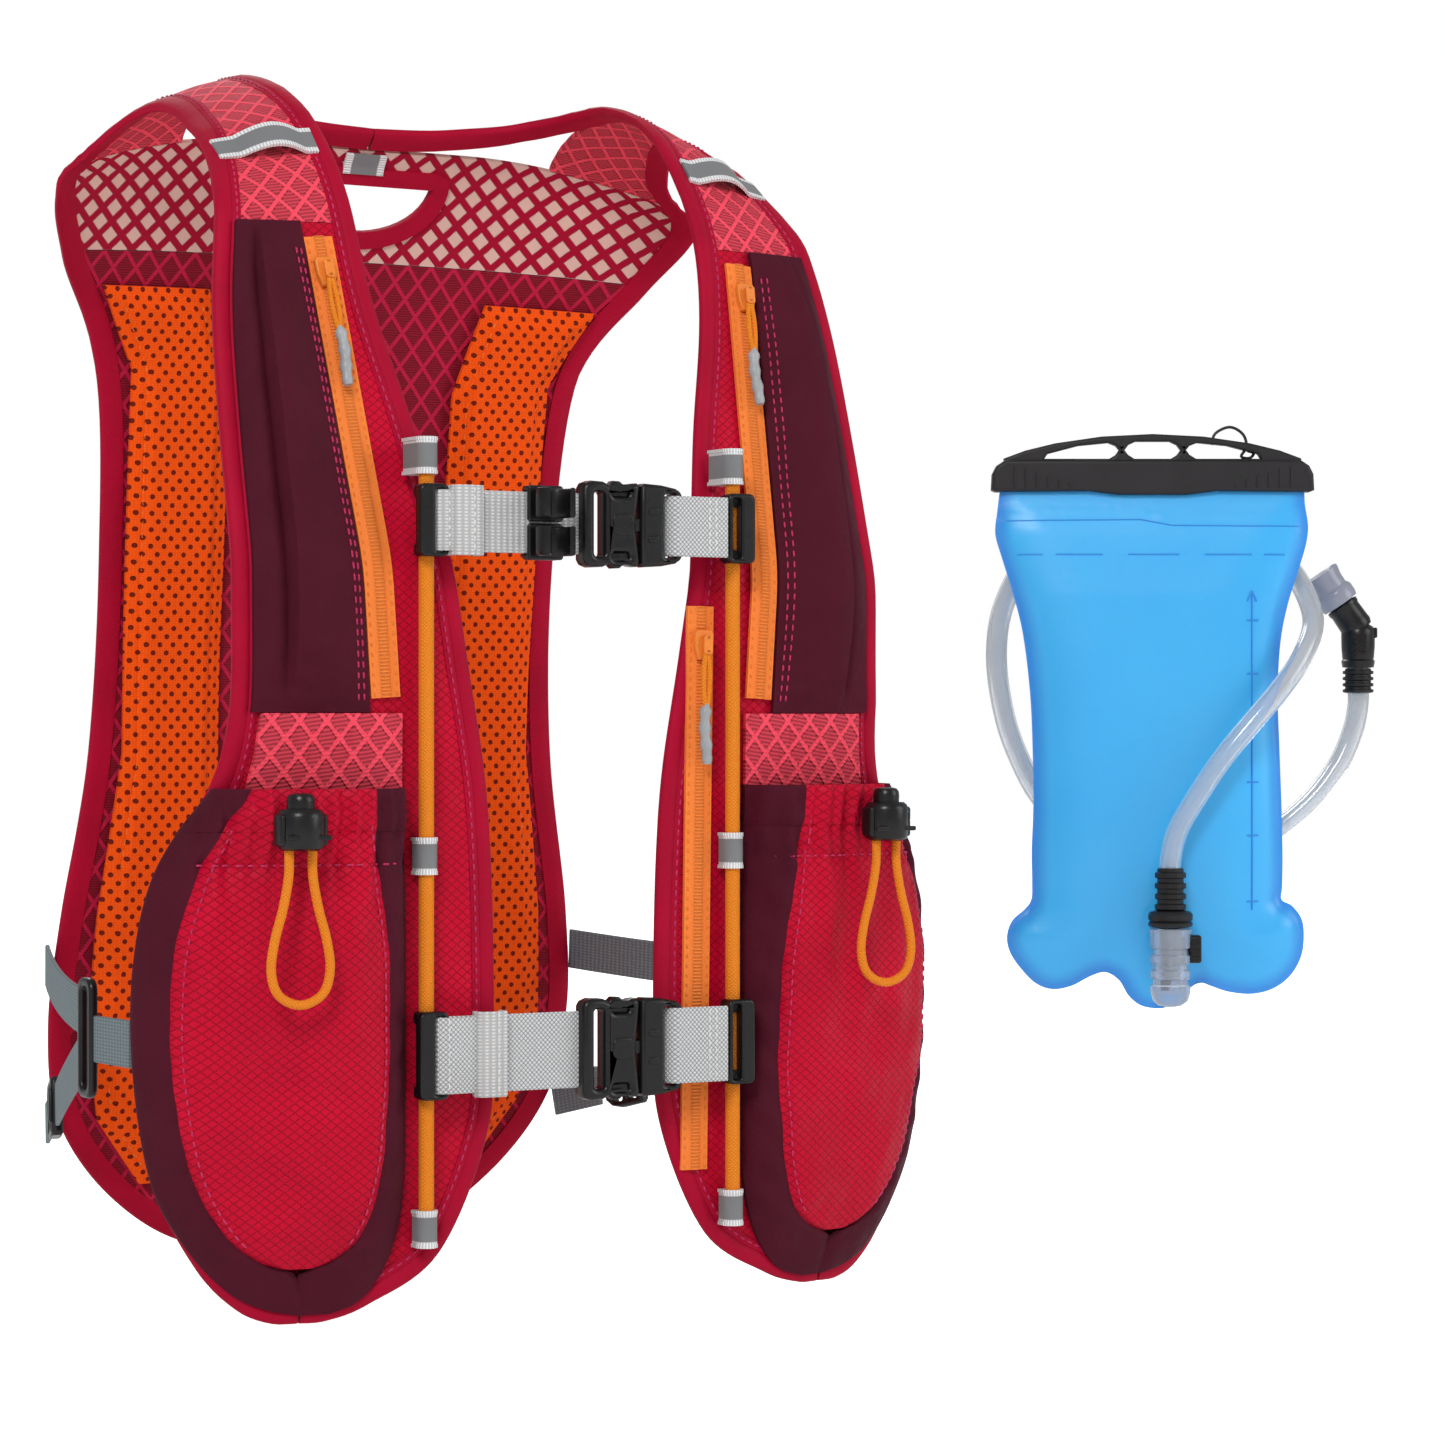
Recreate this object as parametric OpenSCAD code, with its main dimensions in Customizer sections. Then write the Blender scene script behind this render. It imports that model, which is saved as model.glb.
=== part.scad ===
// Running-vest hydration pack: a soft vest, two chest straps on cord rails, and a soft
// reservoir with a drinking hose, laid out beside the vest.
// Frame: millimetres, +Z up. The wearer faces -Y and the wearer's left is +X.
// The origin is the top edge of the haul opening in the back yoke, where a hook holds the vest.

/* [Cloth] */
// Thickness of the chest and back panels
cloth_t = 2.2; // [1.8:0.1:2.4]
// Width of the stretch binding along every edge
binding_w = 8.5; // [7:0.5:9]
// Thickness of the binding
binding_t = 3.6; // [3:0.2:3.8]
// Thickness of the perforated back pads
pad_t = 6; // [4:1:8]
// Depth of the zipped chest pockets
chest_depth = 9; // [6:1:10]
// Depth of the open bottle pockets
bottle_depth = 17; // [14:1:19]
// Depth of the open reservoir sleeve
sleeve_depth = 20; // [16:1:24]

/* [Straps] */
// Diameter of the rail cords
rail_d = 5; // [4:0.5:5]
// Distance of each rail from the middle plane
rail_x = 57; // [56:0.5:58]
// Width of the sternum strap's webbing
sternum_w = 20; // [16:1:20]
// Width of the lower strap's webbing
lower_w = 25; // [20:1:25]
// Width of the side straps' webbing
side_w = 15; // [12:1:15]
// Thickness of all webbing
web_t = 1.6; // [1.2:0.1:1.8]

/* [Zips] */
// Width of the zip tapes
tape_w = 10; // [8:1:10]
// Length of the hanging zip pulls
pull_l = 40; // [30:2:44]

/* [Reservoir] */
// Length of the slide bar
bar_l = 152; // [148:2:160]
// Height of the slide bar
bar_h = 27; // [26:0.5:28]
// Greatest thickness of the filled bag
bag_t = 22; // [16:1:24]
// Outer diameter of the drinking hose
hose_d = 10; // [8:0.5:10]

/* [Hidden] */

fit = 0.1;
gap = 0.3;

// Side view of the vest from the chest hem over the shoulder to the back hem: [y, z] corners,
// and the distance over which each corner is eased.
corners = [[-169, -392], [-169, -150], [-134, -25], [-100, 14], [-50, 29], [-6, 15],
           [12, -45], [26, -150], [34, -270], [54, -405]];
ease = [0, 8, 22, 22, 22, 20, 26, 40, 50, 0];
corner_steps = 4;

function unit(v) = v / norm(v);
function eased(i) =
    let(p = corners[i], back = unit(corners[i - 1] - p), ahead = unit(corners[i + 1] - p))
    [for (k = [0:corner_steps])
        let(t = k / corner_steps, a = p + back * ease[i], b = p + ahead * ease[i])
        (1 - t) * (1 - t) * a + 2 * t * (1 - t) * p + t * t * b];
spine = [corners[0], for (i = [1:len(corners) - 2]) each eased(i), corners[len(corners) - 1]];
run = [for (i = 0, s = 0; i < len(spine);
            s = s + (i + 1 < len(spine) ? norm(spine[i + 1] - spine[i]) : 0), i = i + 1) s];
path_l = run[len(run) - 1];
spine_y = [for (i = [0:len(spine) - 1]) [run[i], spine[i].x]];
spine_z = [for (i = [0:len(spine) - 1]) [run[i], spine[i].y]];
// How strongly the cloth falls away from the side view towards its outer edges, along the path.
curl = [[0, 0.0018], [160, 0.0018], [200, 0.0007], [366, 0.0007], [425, 0.004],
        [540, 0.004], [600, 0.0008], [940, 0.0008]];
flat_half = 40;

function spot(h) = [lookup(h, spine_y), lookup(h, spine_z)];
function normal(h) = let(t = unit(spot(h + 3) - spot(h - 3))) [-t.y, t.x];
// Point of the vest's surface: x across, h along the path, o outward from the body.
function skin(x, h, o) =
    let(p = spot(h), n = normal(h),
        d = o - lookup(h, curl) * pow(max(abs(x) - flat_half, 0), 2))
    [x, p.x + n.x * d, p.y + n.y * d];

// Places along the path, from the chest hem upwards and over to the back.
pocket_top_h = 170;
band_top_h = 195;
zip_top_h = 354;
zip_low_h = 200;
shoulder_h = 360;
yoke_h = 520;
seam_h = 562;
sleeve_top_h = 590;
back_hem_h = path_l - 10;

// Finished edges of the wearer's left half, as [h, x] points: the inner edge along the chest
// and neck, and the outer edge along the pocket, the armhole and the back.
chest_edge = [[0, 96.6], [0.4, 88], [5, 74], [20, 50], [56, 33], [90, 30], [162, 32], [215, 40], [286, 52],
              [340, 63], [400, 66], [460, 69], [485, 66], [502, 52], [509, 28], [511, 0.2]];
arm_edge = [[0, 97.4], [0.4, 106], [5, 116], [18, 128], [45, 141], [80, 146], [115, 146], [145, 138],
            [182, 122], [242, 120], [290, 119], [330, 117], [365, 112], [400, 106], [460, 103],
            [500, 113], [535, 127], [565, 117], [605, 97], [675, 92], [745, 94], [805, 103],
            [845, 106], [880, 100], [910, 78], [930, 46], [935, 0.2]];
edge_steps = 3;

function blend_point(a, b, c, d, t) =
    0.5 * (2 * b + (c - a) * t + (2 * a - 5 * b + 4 * c - d) * t * t
           + (3 * b - a - 3 * c + d) * t * t * t);
function at_end(list, i) = list[max(0, min(len(list) - 1, i))];
function faired(list, steps) =
    [for (i = [0:len(list) - 2]) for (k = [0:steps - 1])
        blend_point(at_end(list, i - 1), list[i], list[i + 1], at_end(list, i + 2), k / steps),
     list[len(list) - 1]];
// The same edge moved sideways by w, positive to the right of the way it runs.
function inset(list, w) =
    [for (i = [0:len(list) - 1])
        let(t = unit(at_end(list, i + 1) - at_end(list, i - 1))) list[i] + w * [-t.y, t.x]];
function past(list, h0, h1) = [for (p = list) if (p.x >= h0 && p.x <= h1) p];

chest_line = faired(chest_edge, edge_steps);
arm_line = faired(arm_edge, edge_steps);
seam_gap = 0.5;
chest_seam = past(inset(chest_line, binding_w + seam_gap), binding_w, 480);
neck_seam = [for (p = chest_seam) if (p.x < 470) p, [yoke_h, 74]];
arm_seam = past(inset(arm_line, -binding_w - seam_gap), binding_w, path_l);

module on_side(side) {
    if (side < 0) mirror([1, 0, 0]) children();
    else children();
}

// Solid between two grids of points of the same size.
module shell(outer, inner) {
    rows = len(outer) - 1;
    cols = len(outer[0]) - 1;
    count = (rows + 1) * (cols + 1);
    function at(i, j) = i * (cols + 1) + j;
    function quad(a, b, c, d) = [[a, b, c], [a, c, d]];
    polyhedron(
        points = [for (row = outer) each row, for (row = inner) each row],
        faces = [
            for (i = [0:rows - 1]) for (j = [0:cols - 1])
                each quad(at(i, j), at(i + 1, j), at(i + 1, j + 1), at(i, j + 1)),
            for (i = [0:rows - 1]) for (j = [0:cols - 1])
                each quad(count + at(i, j), count + at(i, j + 1), count + at(i + 1, j + 1),
                          count + at(i + 1, j)),
            for (i = [0:rows - 1])
                each quad(at(i, 0), count + at(i, 0), count + at(i + 1, 0), at(i + 1, 0)),
            for (i = [0:rows - 1])
                each quad(at(i, cols), at(i + 1, cols), count + at(i + 1, cols),
                          count + at(i, cols)),
            for (j = [0:cols - 1])
                each quad(at(0, j), at(0, j + 1), count + at(0, j + 1), count + at(0, j)),
            for (j = [0:cols - 1])
                each quad(at(rows, j), count + at(rows, j), count + at(rows, j + 1),
                          at(rows, j + 1))],
        convexity = 6);
}

// Height of a soft swell over a patch: open at the top, or closed all round.
function swell(u, v, open) =
    (1 - pow(abs(2 * u - 1), 3)) * (open ? 1 - pow(1 - v, 3) : 1 - pow(abs(2 * v - 1), 4));

// Cloth between two edges, from h0 to h1, with its inner and outer faces at o0 and o1; the
// inner face rises by lift and the outer face by puff in the middle.
module patch(h0, h1, left, right, o0, o1, rows, cols, puff = 0, lift = 0, open = false) {
    function grid(o, rise) =
        [for (i = [0:rows]) let(v = i / rows, h = h0 + (h1 - h0) * v, a = lookup(h, left),
                                b = lookup(h, right))
            [for (j = [0:cols]) let(u = j / cols)
                skin(a + (b - a) * u, h, o + rise * swell(u, v, open))]];
    shell(grid(o1, puff), grid(o0, lift));
}

// Strip of cloth along a line of [h, x] points, from w0 to w1 beside it.
module band(line, w0, w1, o0, o1) {
    low = inset(line, w0);
    high = inset(line, w1);
    function grid(o) =
        [for (i = [0:len(line) - 1])
            [skin(low[i].y, low[i].x, o), skin(high[i].y, high[i].x, o)]];
    shell(grid(o1), grid(o0));
}

// Flat strap between two points, standing on edge.
module strap(a, b, w, t) {
    d = b - a;
    translate(a)
        rotate([0, -asin(d.z / norm(d)), atan2(d.y, d.x)])
            translate([0, -t / 2, -w / 2]) cube([norm(d), t, w]);
}

// Round tube along a route that never runs parallel to Y.
module tube(route, r, sides) {
    points = [for (i = [0:len(route) - 1])
        let(t = unit(at_end(route, i + 1) - at_end(route, i - 1)), a = unit(cross(t, [0, 1, 0])),
            b = cross(t, a))
        for (k = [0:sides - 1]) let(q = 360 * k / sides) route[i] + r * (cos(q) * a + sin(q) * b)];
    last = len(route) - 1;
    polyhedron(
        points = points,
        faces = [
            [for (k = [0:sides - 1]) k],
            for (i = [0:last - 1]) for (k = [0:sides - 1])
                let(m = (k + 1) % sides, a = i * sides, b = (i + 1) * sides)
                each [[a + k, b + k, b + m], [a + k, b + m, a + m]],
            [for (k = [sides - 1:-1:0]) last * sides + k]],
        convexity = 8);
}

function flat_line(x0, x1, h0, h1) = [[h0, x0], [h1, x1]];

// ---- back ----

function mirrored(line) = [for (p = line) [p.x, -p.y]];

module back_panel() {
    color("#8a1530")
        patch(seam_h + gap, back_hem_h - 14, mirrored(arm_seam), arm_seam, 0, cloth_t, 16, 8);
}

haul_w = 66;
haul_drop = 22;

// The haul opening is a D with a flat top at the origin's level.
module haul_hole() {
    translate([0, 60, -haul_drop])
        rotate([90, 0, 0])
            linear_extrude(height = 80)
                intersection() {
                    translate([0, haul_drop]) scale([haul_w / 2 / haul_drop, 1]) circle(haul_drop, $fn = 40);
                    translate([-haul_w / 2, 0]) square([haul_w, haul_drop]);
                }
}

module back_yoke() {
    color("#b01a38")
        difference() {
            patch(yoke_h, seam_h, mirrored(arm_seam), arm_seam, 0, cloth_t, 6, 14);
            haul_hole();
        }
}

tab_w = 16;
tab_t = 1.2;

// Reflective tape folded round the band above the haul opening: one run on each face.
module haul_tab() {
    low = [[500, -tab_w / 2], [540, -tab_w / 2]];
    high = [[500, tab_w / 2], [540, tab_w / 2]];
    color("#83898b") {
        patch(521, 529, low, high, cloth_t + gap, cloth_t + gap + tab_t, 3, 2);
        patch(521, 529, low, high, -gap - tab_t, -gap, 3, 2);
    }
}

pad_gap = 1.7;

module back_pads() {
    color("#f0581a")
        for (side = [-1, 1])
            on_side(side)
                patch(575, 905, [[575, 56], [610, 45], [860, 44], [905, 52]],
                      [[575, 99], [605, 84], [745, 82], [805, 90], [845, 92], [880, 86],
                       [905, 68]], -pad_t - pad_gap, -pad_gap, 12, 4);
}

// The sleeve is open at its top edge and closed at the hem.
module reservoir_sleeve() {
    color("#5a1528")
        patch(900, sleeve_top_h, [[580, 80], [940, 80]], [[580, -80], [940, -80]], cloth_t + gap,
              cloth_t + gap + 1.6, 14, 10, sleeve_depth, sleeve_depth, true);
}

// ---- front ----

module front_panel(side) {
    color("#c01238")
        on_side(side)
            patch(13, shoulder_h - gap, chest_seam, arm_seam, 0, cloth_t, 18, 5);
}

module shoulder(side) {
    color("#e8646c")
        on_side(side)
            patch(shoulder_h, yoke_h - gap, neck_seam, arm_seam, 0, cloth_t, 12, 4);
}

pocket_o = cloth_t + gap;

module chest_pocket(side) {
    color("#55182c")
        on_side(side)
            patch(band_top_h + gap, zip_top_h, [[195, 75], [354, 85]],
                  [[195, 111], [240, 110.5], [330, 107.5], [354, 103]],
                  pocket_o, pocket_o + 2, 10, 6, chest_depth);
}

module stretch_bands() {
    color("#ea5a60")
        for (side = [-1, 1])
            on_side(side)
                patch(pocket_top_h + gap, band_top_h, [[160, 64], [200, 64]],
                      [[160, 117], [182, 112.5], [200, 111]], pocket_o, pocket_o + 2, 3, 8);
}

module bottle_pocket(side) {
    color("#a01230")
        on_side(side)
            patch(16, pocket_top_h, [[16, 80], [40, 66], [70, 64], [167, 64]],
                  [[16, 114], [45, 129], [80, 135], [115, 135], [145, 127], [167, 117]],
                  pocket_o, pocket_o + 1.6, 10, 8, bottle_depth, bottle_depth, true);
}

// ---- zips ----

tape_t = 1.4;
tape_o = pocket_o + 0.6;
upper_line = flat_line(69.5, 79.5, zip_low_h, zip_top_h);
lower_line = flat_line(44, 46.5, 42, 231);

function dense(line, count) = [for (i = [0:count]) line[0] + (line[1] - line[0]) * i / count];

module zip_tapes() {
    color("#ff9c50") {
        for (side = [-1, 1])
            on_side(side)
                band(dense(upper_line, 12), -tape_w / 2, tape_w / 2, tape_o, tape_o + tape_t);
        band(dense(lower_line, 8), -tape_w / 2, tape_w / 2, tape_o, tape_o + tape_t);
    }
}

slider_o = tape_o + tape_t + 0.25;
slider_t = 2.2;
slider_w = 7;
slider_h = 10;

// Stands a child drawn at the origin, with +Z along the zip and -Y outward, on the zip's top.
module on_zip(line) {
    top = line[1];
    a = skin(top.y, top.x - 8, slider_o);
    b = skin(top.y - (line[1].y - line[0].y) / (line[1].x - line[0].x) * 40, top.x - 48, slider_o);
    d = unit(a - b);
    translate(a)
        rotate([-asin(d.y), atan2(d.x, d.z), 0])
            children();
}

module zip_slider(line, side) {
    color("#f08a30")
        on_side(side)
            on_zip(line) {
                translate([-slider_w / 2, -slider_t, -slider_h]) cube([slider_w, slider_t, slider_h]);
                for (x = [-2, 1])
                    translate([x, -slider_t - 1.8, -slider_h + 2]) cube([1, 1.9, 6]);
                translate([-2, -slider_t - 2.6, -slider_h + 2]) cube([4, 0.8, 6]);
            }
}

eye_r = 1.1;
eye_z = -9.6;

// Cord pull on a round eye below the slider's bridge, with a heat-shrink sleeve on its end.
module zip_pull(line, side) {
    color("#f59a2c")
        on_side(side)
            on_zip(line)
                translate([0, -slider_t - eye_r - 0.15, eye_z]) {
                    rotate([0, 90, 0]) cylinder(r = eye_r, h = 2.4, center = true, $fn = 32);
                    translate([0, 0, -pull_l + 4.6]) cylinder(d = 1.6, h = pull_l - 4.6, $fn = 16);
                    translate([-1.8, -0.8, -pull_l + 4.6]) cube([3.6, 1.6, pull_l / 2]);
                }
}

// ---- rails ----

front_y = corners[0].x;
rail_y = front_y - 7;
tab_heights = [-363, -243, -114];
tab_half = 6;

module rails() {
    color("#f59a2c")
        for (side = [-1, 1])
            translate([side * rail_x, rail_y, tab_heights[0] - tab_half])
                cylinder(d = rail_d, h = tab_heights[2] - tab_heights[0] + 2 * tab_half, $fn = 32);
}

module rail_tabs() {
    color("#a9adae")
        for (side = [-1, 1], z = tab_heights)
            translate([side * rail_x, 0, z])
                difference() {
                    top = z > corners[1].y;
                    depth = top ? 14 : 7.4;
                    translate([-3.7, rail_y - 4, -tab_half]) cube([7.4, depth, 2 * tab_half]);
                    translate([0, rail_y, -tab_half - 1])
                        cylinder(d = rail_d + fit, h = 2 * tab_half + 2, $fn = 32);
                }
}

keeper_w = 12;

module hose_keepers() {
    o = cloth_t + gap;
    color("#83898b")
        for (side = [-1, 1])
            on_side(side)
                patch(390, 390 + keeper_w, [[380, 76], [430, 76]], [[380, 96], [430, 96]], o, o + 1.2,
                      3, 6, 4, 4);
}

// ---- bindings ----

binding_o = -(binding_t - cloth_t) / 2;

// A binding starts one point after the middle of the chest hem, so that the two meet there.
module binding(line, w0, w1) {
    color("#a00c34")
        for (side = [-1, 1])
            on_side(side)
                band([for (i = [1:len(line) - 1]) line[i]], w0, w1, binding_o, binding_o + binding_t);
}

module binding_inner() {
    binding(chest_line, 0.1, binding_w);
}

module binding_outer() {
    binding(arm_line, -binding_w, -0.1);
}

// ---- chest straps ----

web_y = front_y - 11.2 - web_t / 2;
buckle_y = front_y - 13.1;
buckle_t = 7.4;
block_w = 9.5;
block_x = 52.5;
socket_x = -2;
socket_l = 18.5;
plug_x = socket_x + socket_l + 0.5;
pivot_x = plug_x - 2.2;
tail_y = buckle_y - 1.7 - web_t / 2;

module rail_sliders(z, w) {
    h = w + 3.4;
    color("#1b1b1d")
        for (side = [-1, 1])
            on_side(side)
                translate([0, 0, z])
                    difference() {
                        translate([block_x, front_y - 14.4, -h / 2]) cube([block_w, 11.2, h]);
                        translate([rail_x, rail_y, -h]) cylinder(d = rail_d + fit, h = 2 * h, $fn = 32);
                        translate([block_x - 1, web_y - web_t / 2 - 0.15, -w / 2 - 0.2])
                            cube([4.5, web_t + 0.3, w + 0.4]);
                    }
}

module strap_web(z, w) {
    color("#c3c8c9")
        translate([-block_x - 3, web_y - web_t / 2, z - w / 2])
            cube([block_x + 3 + socket_x - 0.2, web_t, w]);
}

function buckle_half(w) = w / 2 + 4.2;

module buckle_socket(z, w) {
    half = buckle_half(w);
    color("#1b1b1d")
        translate([socket_x, buckle_y, z])
            difference() {
                translate([0, -buckle_t / 2, -half]) cube([socket_l, buckle_t, 2 * half]);
                translate([1.8, -buckle_t, -w / 2 - 0.5]) cube([3, 2 * buckle_t, w + 1]);
                translate([6.5, -buckle_t / 2 + 1.3, -half + 1.6])
                    cube([socket_l, buckle_t - 2.6, 2 * half - 3.2]);
                translate([8.5, -buckle_t / 2 + 1.3, -half - 1]) cube([6, buckle_t - 2.6, 2 * half + 2]);
            }
}

module buckle_plug(z, w) {
    half = buckle_half(w) - 0.3;
    color("#1b1b1d")
        translate([plug_x, buckle_y, z]) {
            difference() {
                translate([0, -buckle_t / 2, -half]) cube([16.5, buckle_t, 2 * half]);
                translate([9.5, -buckle_t, -w / 2 - 0.5]) cube([4.5, 2 * buckle_t, w + 1]);
            }
            translate([-10.5, -2, -2.5]) cube([10.6, 4, 5]);
        }
}

// One springy arm of the plug; up is 1 for the upper arm and -1 for the lower.
module buckle_prong(z, w, up) {
    half = buckle_half(w);
    color("#1b1b1d")
        translate([pivot_x, buckle_y, z + up * (half - 3.9)]) {
            rotate([90, 0, 0]) cylinder(r = 2, h = 4.2, center = true, $fn = 32);
            translate([-8.8, -2.1, up > 0 ? -1.2 : -2]) cube([8.8, 4.2, 3.2]);
        }
}

module plug_tail(z, w) {
    color("#c3c8c9")
        translate([plug_x + 16.8, tail_y - web_t / 2, z - w / 2]) cube([16, web_t, w]);
}

sternum_z = -135;
lower_z = -307;
clip_x = -17.5;
clip_w = 13;
clip_bore = hose_d / 2;
clip_y = web_y - 4.2 - clip_bore;

// Clip that slides on the sternum strap and holds the hose in a vertical bore.
module hose_clip() {
    h = sternum_w + 5;
    color("#1b1b1d")
        translate([clip_x, 0, sternum_z])
            difference() {
                union() {
                    translate([-clip_w / 2, web_y - 2.8, -h / 2]) cube([clip_w, 5.2, h]);
                    translate([0, clip_y, -h / 2 + 1.5]) cylinder(r = clip_bore + 1.6, h = h - 3, $fn = 48);
                }
                translate([0, clip_y, -h]) cylinder(r = clip_bore, h = 2 * h, $fn = 48);
                translate([-3.4, clip_y - 12, -h]) cube([6.8, 10, 2 * h]);
                translate([-clip_w, web_y - web_t / 2 - 0.15, -sternum_w / 2 - 0.2])
                    cube([2 * clip_w, web_t + 0.3, sternum_w + 0.4]);
            }
}

// ---- cord locks ----

lock_at = [108, -192, -240];
lock_d = 15;
lock_h = 13;
button_d = 9;
button_rise = 5;

module cord_lock(side) {
    color("#1b1b1d")
        translate([side * lock_at.x, lock_at.y, lock_at.z])
            difference() {
                cylinder(d = lock_d, h = lock_h, $fn = 40);
                translate([0, 0, 3]) cylinder(d = button_d + fit, h = lock_h, $fn = 40);
            }
}

module lock_button(side) {
    color("#2a2a2d")
        translate([side * lock_at.x, lock_at.y, lock_at.z + 7.5])
            cylinder(d = button_d, h = lock_h - 7.5 + button_rise, $fn = 40);
}

cord_d = 3;
// Route of the shock cord's free loop below a lock, from one side of the lock to the other.
loop_route = [[-4, 0, 0], [-4.1, 0, -8], [-6, 0, -18], [-8.8, 0, -28], [-10, 0, -37.5], [-7.4, 0, -45],
              [0, 0, -48.2], [7.4, 0, -45], [10, 0, -37.5], [8.8, 0, -28], [6, 0, -18], [4.1, 0, -8],
              [4, 0, 0]];

module lock_cords() {
    color("#f59a2c")
        for (side = [-1, 1])
            translate([side * lock_at.x, lock_at.y, lock_at.z])
                tube(faired(loop_route, 2), cord_d / 2, 8);
}

// ---- side straps ----

ring_at = [149, -115, -302];
high_end = [107, 36, -288];
low_end = [104, 44, -346];
ring_low = ring_at + [-1, 8.6, -8];
function along(t) = ring_low + (low_end - ring_low) * t;

module side_strap(side) {
    color("#6b7c82")
        on_side(side) {
            strap([148.5, -146, ring_at.z], [148.5, -121.3, ring_at.z], side_w, web_t);
            strap(ring_at + [-1, 7, 8], high_end, side_w, web_t);
            strap(ring_low, along(0.68), side_w, web_t);
            strap(along(0.84), low_end, side_w, web_t);
        }
}

module side_rings() {
    color("#1b1b1d")
        for (side = [-1, 1])
            on_side(side)
                translate(ring_at)
                    difference() {
                        cube([3, 12, 39], center = true);
                        cube([4, 6, 33], center = true);
                    }
}

lock_l = 20;

module ladder_lock(side) {
    a = along(0.69);
    d = low_end - ring_low;
    color("#1b1b1d")
        on_side(side)
            translate(a)
                rotate([0, -asin(d.z / norm(d)), atan2(d.y, d.x)])
                    difference() {
                        union() {
                            translate([0, -2.2, -side_w / 2 - 3]) cube([lock_l, 4.4, side_w + 6]);
                            translate([lock_l, 0, -side_w / 2 - 3])
                                cylinder(r = 2.2, h = side_w + 6, $fn = 32);
                        }
                        for (x = [3, 11])
                            translate([x, -4, -side_w / 2 - 0.4]) cube([5, 8, side_w + 0.8]);
                    }
}

// ---- reservoir ----

bag_at = [495, 184, -200];
bag_turn = -30;
bar_low = 109;
bag_top = bar_low + 13;
// Half width and half thickness of the bag at each height, above the middle of the vest.
bag_half_w = [[-136, 14], [-133, 40], [-126, 60], [-115, 69], [-100, 71], [-85, 68], [-66, 62],
              [-40, 59], [0, 59], [30, 61], [60, 66], [84, 71], [100, 73], [108, 73], [122, 73]];
bag_swell = [0.04, 0.2, 0.45, 0.7, 0.85, 0.95, 1, 1, 1, 1, 0.9, 0.6, 0.3, 0.11, 0.11];
bag_sides = 24;

module docked() {
    translate(bag_at) rotate([0, 0, bag_turn]) children();
}

module reservoir_bag() {
    rings = len(bag_half_w);
    color("#38a4ee")
        docked()
            polyhedron(
                points = [for (i = [0:rings - 1]) for (k = [0:bag_sides - 1])
                    let(q = 360 * k / bag_sides)
                    [bag_half_w[i].y * cos(q), bag_t / 2 * bag_swell[i] * sin(q), bag_half_w[i].x]],
                faces = [
                    [for (k = [0:bag_sides - 1]) k],
                    for (i = [0:rings - 2]) for (k = [0:bag_sides - 1])
                        let(m = (k + 1) % bag_sides, a = i * bag_sides, b = a + bag_sides)
                        each [[a + k, b + k, b + m], [a + k, b + m, a + m]],
                    [for (k = [bag_sides - 1:-1:0]) (rings - 1) * bag_sides + k]],
                convexity = 4);
}

bar_t = 10;
hand_holes = [[-48, -20], [-13, 13], [20, 48]];

module slide_bar() {
    half = bar_l / 2;
    color("#3a3437")
        docked()
            translate([0, 0, bar_low])
                difference() {
                    rotate([90, 0, 0])
                        linear_extrude(height = bar_t, center = true)
                            polygon([[-half, 0], [half, 0], [half, 14.5], [half - 20, bar_h - 3],
                                     [20, bar_h], [-20, bar_h], [20 - half, bar_h - 3],
                                     [-half, 14.5]]);
                    translate([-half - 1, -1.7, -1]) cube([bar_l + 2, 3.4, 14.5]);
                    for (hole = hand_holes)
                        translate([hole[0], -bar_t, 14.8])
                            cube([hole[1] - hole[0], 2 * bar_t, hole == hand_holes[1] ? 8 : 6.4]);
                }
}

port_x = 6;
port_y = -23;
port_top = -96;
socket_r = 5.2;

module hose_port() {
    color("#aed4f0")
        docked()
            difference() {
                union() {
                    translate([port_x, -10.8, -111]) rotate([90, 0, 0]) cylinder(r = 18, h = 2.4, $fn = 48);
                    translate([port_x, port_y, -133]) cylinder(r = 9.5, h = 37, $fn = 48);
                    translate([port_x - 7, port_y + 5, -130]) cube([14, 7.5, 30]);
                }
                translate([port_x, port_y, port_top - 24]) cylinder(r = socket_r, h = 25, $fn = 48);
                translate([port_x + 5.8, port_y - 3.7, -112.2]) cube([10, 7.4, 14.4]);
            }
}

module release_button() {
    color("#1b1b1d")
        docked()
            translate([port_x + 8.2, port_y - 3.6, -112]) cube([6, 7.2, 14]);
}

plug_top = -88;

module hose_plug() {
    color("#1b1b1d")
        docked()
            translate([port_x, port_y, 0]) {
                translate([0, 0, port_top - 23]) cylinder(r = socket_r - fit, h = 23.4, $fn = 48);
                translate([0, 0, port_top + 0.4]) cylinder(r = 8, h = plug_top - port_top - 0.4, $fn = 48);
            }
}

// Route of the hose from the plug, across the bag, behind it and up to the bite valve.
hose_route = [[6, -23, -88], [6, -23, -76], [6, -23, -65], [9, -24, -51], [18, -25, -35],
              [30, -25, -17], [44, -24, 0], [58, -20, 16], [69, -12, 31], [76, 0, 47],
              [73.5, 12, 62.5], [65.5, 20, 76], [53, 23.5, 86], [38, 24.5, 91.5],
              [16, 24.5, 93], [-24, 24, 90], [-54, 23, 79],
              [-68, 22, 57], [-72, 21, 33], [-69, 21, 7], [-62, 21, -15], [-49, 22, -38],
              [-24, 24, -60], [13, 25, -69], [47, 25, -60], [74, 26, -42], [91, 28, -22],
              [99.4, 30, -4], [102, 30, 9], [102, 30, 19], [102, 30, 27]];
mouth_x = 102;
mouth_y = 30;
mouth_z = 27;

module hose() {
    color("#cfe3ee")
        docked() tube(faired(hose_route, 2), hose_d / 2, 10);
}

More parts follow.
